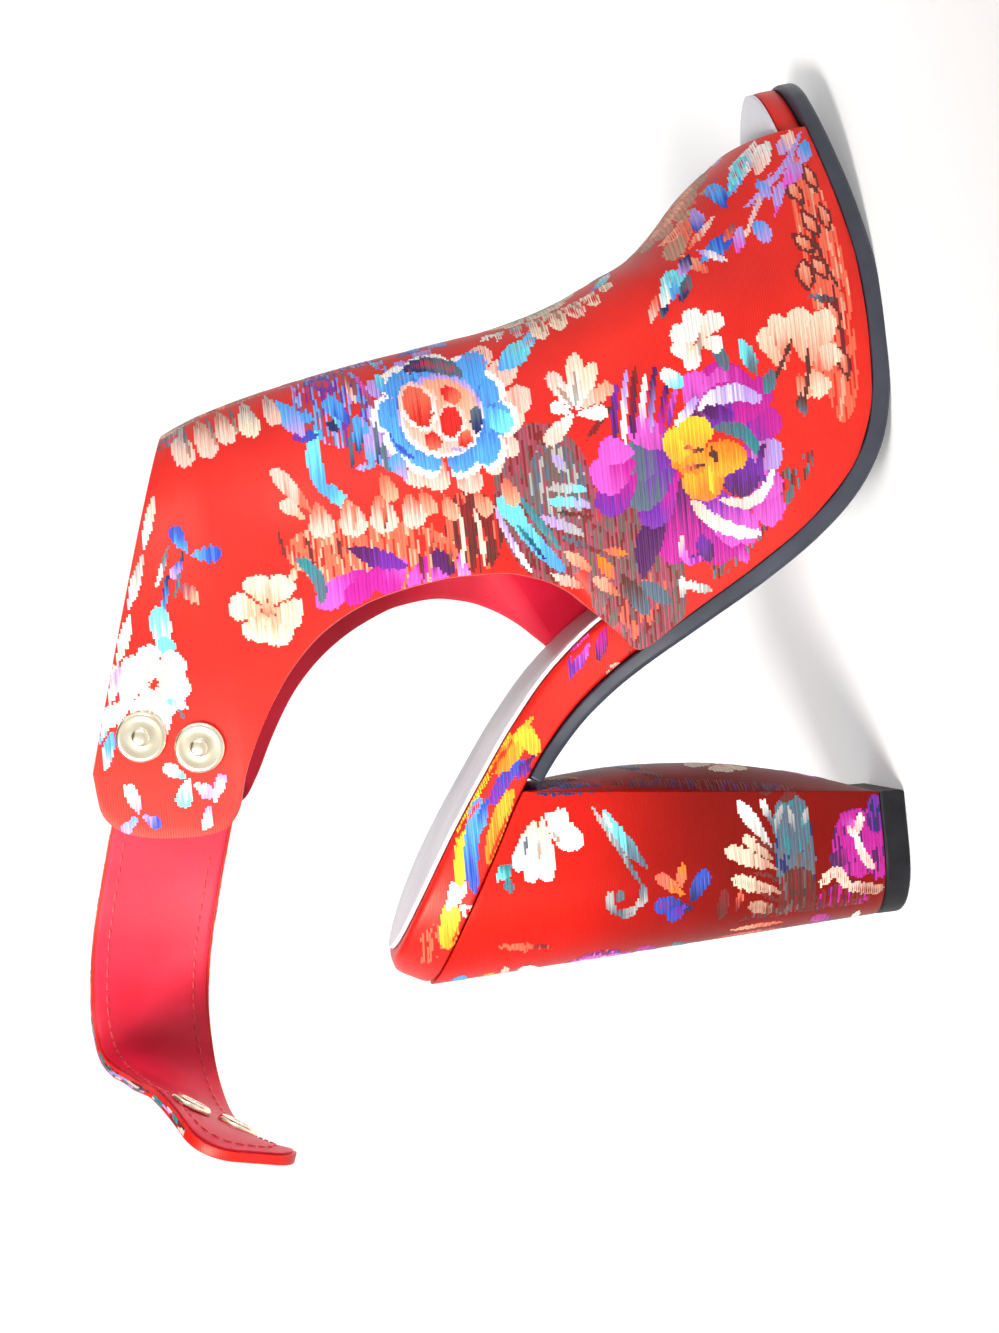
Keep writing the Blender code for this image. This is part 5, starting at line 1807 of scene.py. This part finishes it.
STRAP_CHART = (
    moved(QUARTER_BLOSSOM, (90, 145), (30, 3), 10, 0.95)
    + moved(BLUE_SPRIG, (104, 161), (46, -5), 40)
    + moved(CREAM_SPRAY, (136, 20), (60, 2), 70, 0.9)
    + moved(TAB_LEAVES, (48, 168), (82, 3), 80)
    + moved(WHITE_BLOSSOM, (141.5, 42.3), (98, -5), 30)
    + moved(BLUE_BUD, (155, 46), (110, 6), 10, 1.1)
    + moved(CYAN_SPRIG, (84, 170), (124, -2), 100)
    + moved(BLUE_SPRIG, (104, 161), (140, 4), -60)
    + moved(CORAL_SPRIG, (160, 13), (22, -9), 0, 0.9)
    + moved(CORAL_SPRIG, (160, 13), (110, -10), 0, 0.9)
    + chart_rows("""
bar 14 15.6 150 15.6 2 0 mix teal/brown/none/blush/none/maroon/lilac/none
bar 14 -15.6 150 -15.6 2 0 mix maroon/none/coral/none/brown/cyan/none/blush
""")
)
weave("flowers_strap", STRAP_CHART, lay_on_strap, seed=9)

# %% [markdown]
# ## Snaps and stitches
#
# The tab carries two studs and the loose end two sockets of thin plated metal. Such parts are pressed and
# rolled from sheet. A cylinder could be bevelled for each, but a profile that is turned about an axis gives
# them with their rolled rims in one go. The stitches that hold the strap's lining are short rounded bars in
# rows, all in one mesh.

# %% Snaps
STUD_PROFILE = np.array([
    # radius, height: from the middle of the front to the middle of the back
    (0.0, 3.0), (0.9, 2.97), (1.5, 2.82), (1.95, 2.55), (2.1, 2.25), (1.98, 1.9), (1.75, 1.55), (1.74, 1.3),
    (1.95, 1.08), (2.5, 0.98), (3.5, 0.94), (4.2, 1.0), (4.8, 1.06), (5.25, 0.97), (5.58, 0.72), (5.7, 0.42),
    (5.66, 0.12), (5.5, 0.0), (0.0, 0.0),
])
SOCKET_PROFILE = np.array([
    # radius, height: from the foot of the hole over the rolled rim and back
    (2.3, 0.0), (2.3, 1.1), (2.42, 1.4), (2.75, 1.56), (3.3, 1.6), (3.9, 1.58), (4.4, 1.45), (4.78, 1.15),
    (4.97, 0.8), (5.0, 0.35), (4.95, 0.08), (4.8, 0.0), (2.3, 0.0),
])
STUD_PLACES = [(64.1, 175.7), (60.6, 163.0)]
STUD_SEAT = 0.4
STUD_ROUND = 3.0  # distance at which the cloth's slope is read round a stud
STUD_FACING = 0.5
SOCKET_FROM_END, SNAP_SPACING = 24.0, 13.4
SNAP_SIDES, SNAP_MIDDLE = 48, 0.7


def turned(name, profile, seat_point, axis):
    """A profile turned about an axis through a seat point, both in the shoe's millimetres."""
    axis = np.asarray(axis) / np.linalg.norm(axis)
    side = np.cross(axis, (0.0, 0.0, 1.0))
    side /= np.linalg.norm(side)
    other = np.cross(axis, side)
    steps = np.arange(len(profile), dtype=float)

    def form(u, v):
        radius, height = (np.interp(v * steps[-1], steps, profile[:, i])[:, None] for i in (0, 1))
        angle = (2 * math.pi * u)[:, None]
        return seat_point + radius * (side * np.cos(angle) + other * np.sin(angle)) + axis * height

    piece = sheet_over(name, form, SNAP_SIDES, 2 * (len(profile) - 1), seat_point + axis * SNAP_MIDDLE)
    bpy.ops.object.shade_smooth_by_angle(angle=math.radians(50))
    piece.data.materials.append(pale_gold)
    return piece


lay = lay_from(upper, INNER, AHEAD, deepest=4.0, suits=turned_to(OUTER, STUD_FACING))
ROUND_STUD = np.array([(0, 0), (STUD_ROUND, 0), (-STUD_ROUND, 0), (0, STUD_ROUND), (0, -STUD_ROUND)])
for number, place in enumerate(STUD_PLACES, 1):
    spots, normals, _ = lay(np.array(place) + ROUND_STUD)
    out = normals.mean(0)
    stud = turned(f"stud_{number}", STUD_PROFILE, spots[0] / MM - SHOE_PLACE + out * STUD_SEAT, out)
    seat(stud, "pale_gold", f"snap_stud_{number}")
for number, side in ((1, 1), (2, -1)):
    place, out = on_strap(
        np.array([STRAP_LENGTH - SOCKET_FROM_END]), np.array([side * SNAP_SPACING / 2]),
        np.array([-STRAP_THICKNESS / 2 - LINING_HEIGHT]),
    )
    socket = turned(f"socket_{number}", SOCKET_PROFILE, place[0], -out[0])
    seat(socket, "pale_gold", f"snap_socket_{number}")

# %% Stitches of the strap's lining
STITCH, STITCH_GAP, STITCH_THREAD = 2.1, 0.9, 0.28  # length, gap and half thickness in millimetres
STITCH_START, STITCH_INSET, STITCH_RISE = 14, 3.9, 0.08  # from the seam, from the edge, and above the lining
STITCH_LINE_STEP = 0.5
STITCH_SIDES = 6
STITCH_SHAPE = [(0.0, 0.25), (0.12, 0.8), (0.5, 1.0), (0.88, 0.8), (1.0, 0.25)]  # share of length, size


def stitch_bars(ends):
    """Rounded bars between pairs of places, in one list of points and one of faces."""
    points, faces = [], []
    for start, end, out in ends:
        way = (end - start) / np.linalg.norm(end - start)
        across = np.cross(way, out)
        base = len(points)
        for share, size in STITCH_SHAPE:
            for angle in np.arange(STITCH_SIDES) * 2 * math.pi / STITCH_SIDES:
                ring = across * math.cos(angle) + out * math.sin(angle)
                points.append(start + (end - start) * share + ring * size * STITCH_THREAD)
        last = len(points) - STITCH_SIDES
        for row in range(base, last, STITCH_SIDES):
            for k in range(STITCH_SIDES):
                a, b = row + k, row + (k + 1) % STITCH_SIDES
                faces.append((a, a + STITCH_SIDES, b + STITCH_SIDES, b))
        faces.append(tuple(range(base, base + STITCH_SIDES)))
        faces.append(tuple(range(last + STITCH_SIDES - 1, last - 1, -1)))
    return points, faces


def lining_stitches():
    """Pairs of places along both long sides of the lining and round its end, with the way out there."""
    end = STRAP_LENGTH - STITCH_INSET
    along = np.append(np.arange(STITCH_START, end, STITCH_LINE_STEP), end)
    half = strap_half(along, STITCH_INSET)
    line = np.concatenate([np.column_stack([along, half]), np.column_stack([along, -half])[::-1]])
    reach = np.insert(np.cumsum(np.linalg.norm(np.diff(line, axis=0), axis=1)), 0, 0)
    height = -STRAP_THICKNESS / 2 - LINING_HEIGHT - STITCH_RISE
    ends = []
    for start in np.arange(0, reach[-1] - STITCH, STITCH + STITCH_GAP):
        flat = np.array([[np.interp(r, reach, line[:, i]) for i in (0, 1)] for r in (start, start + STITCH)])
        spots, out = on_strap(flat[:, 0], flat[:, 1], np.full(2, height))
        ends.append((spots[0], spots[1], -out[0]))
    return ends


points, faces = stitch_bars(lining_stitches())
stitches = new_piece("lining_stitches", in_frame(points), faces, red_thread)
bpy.ops.object.select_all(action="DESELECT")
bpy.context.view_layer.objects.active = stitches
bpy.ops.object.mode_set(mode="EDIT")
bpy.ops.mesh.select_all(action="SELECT")
bpy.ops.mesh.normals_make_consistent(inside=False)
bpy.ops.object.mode_set(mode="OBJECT")
seat(stitches, "red_brocade")
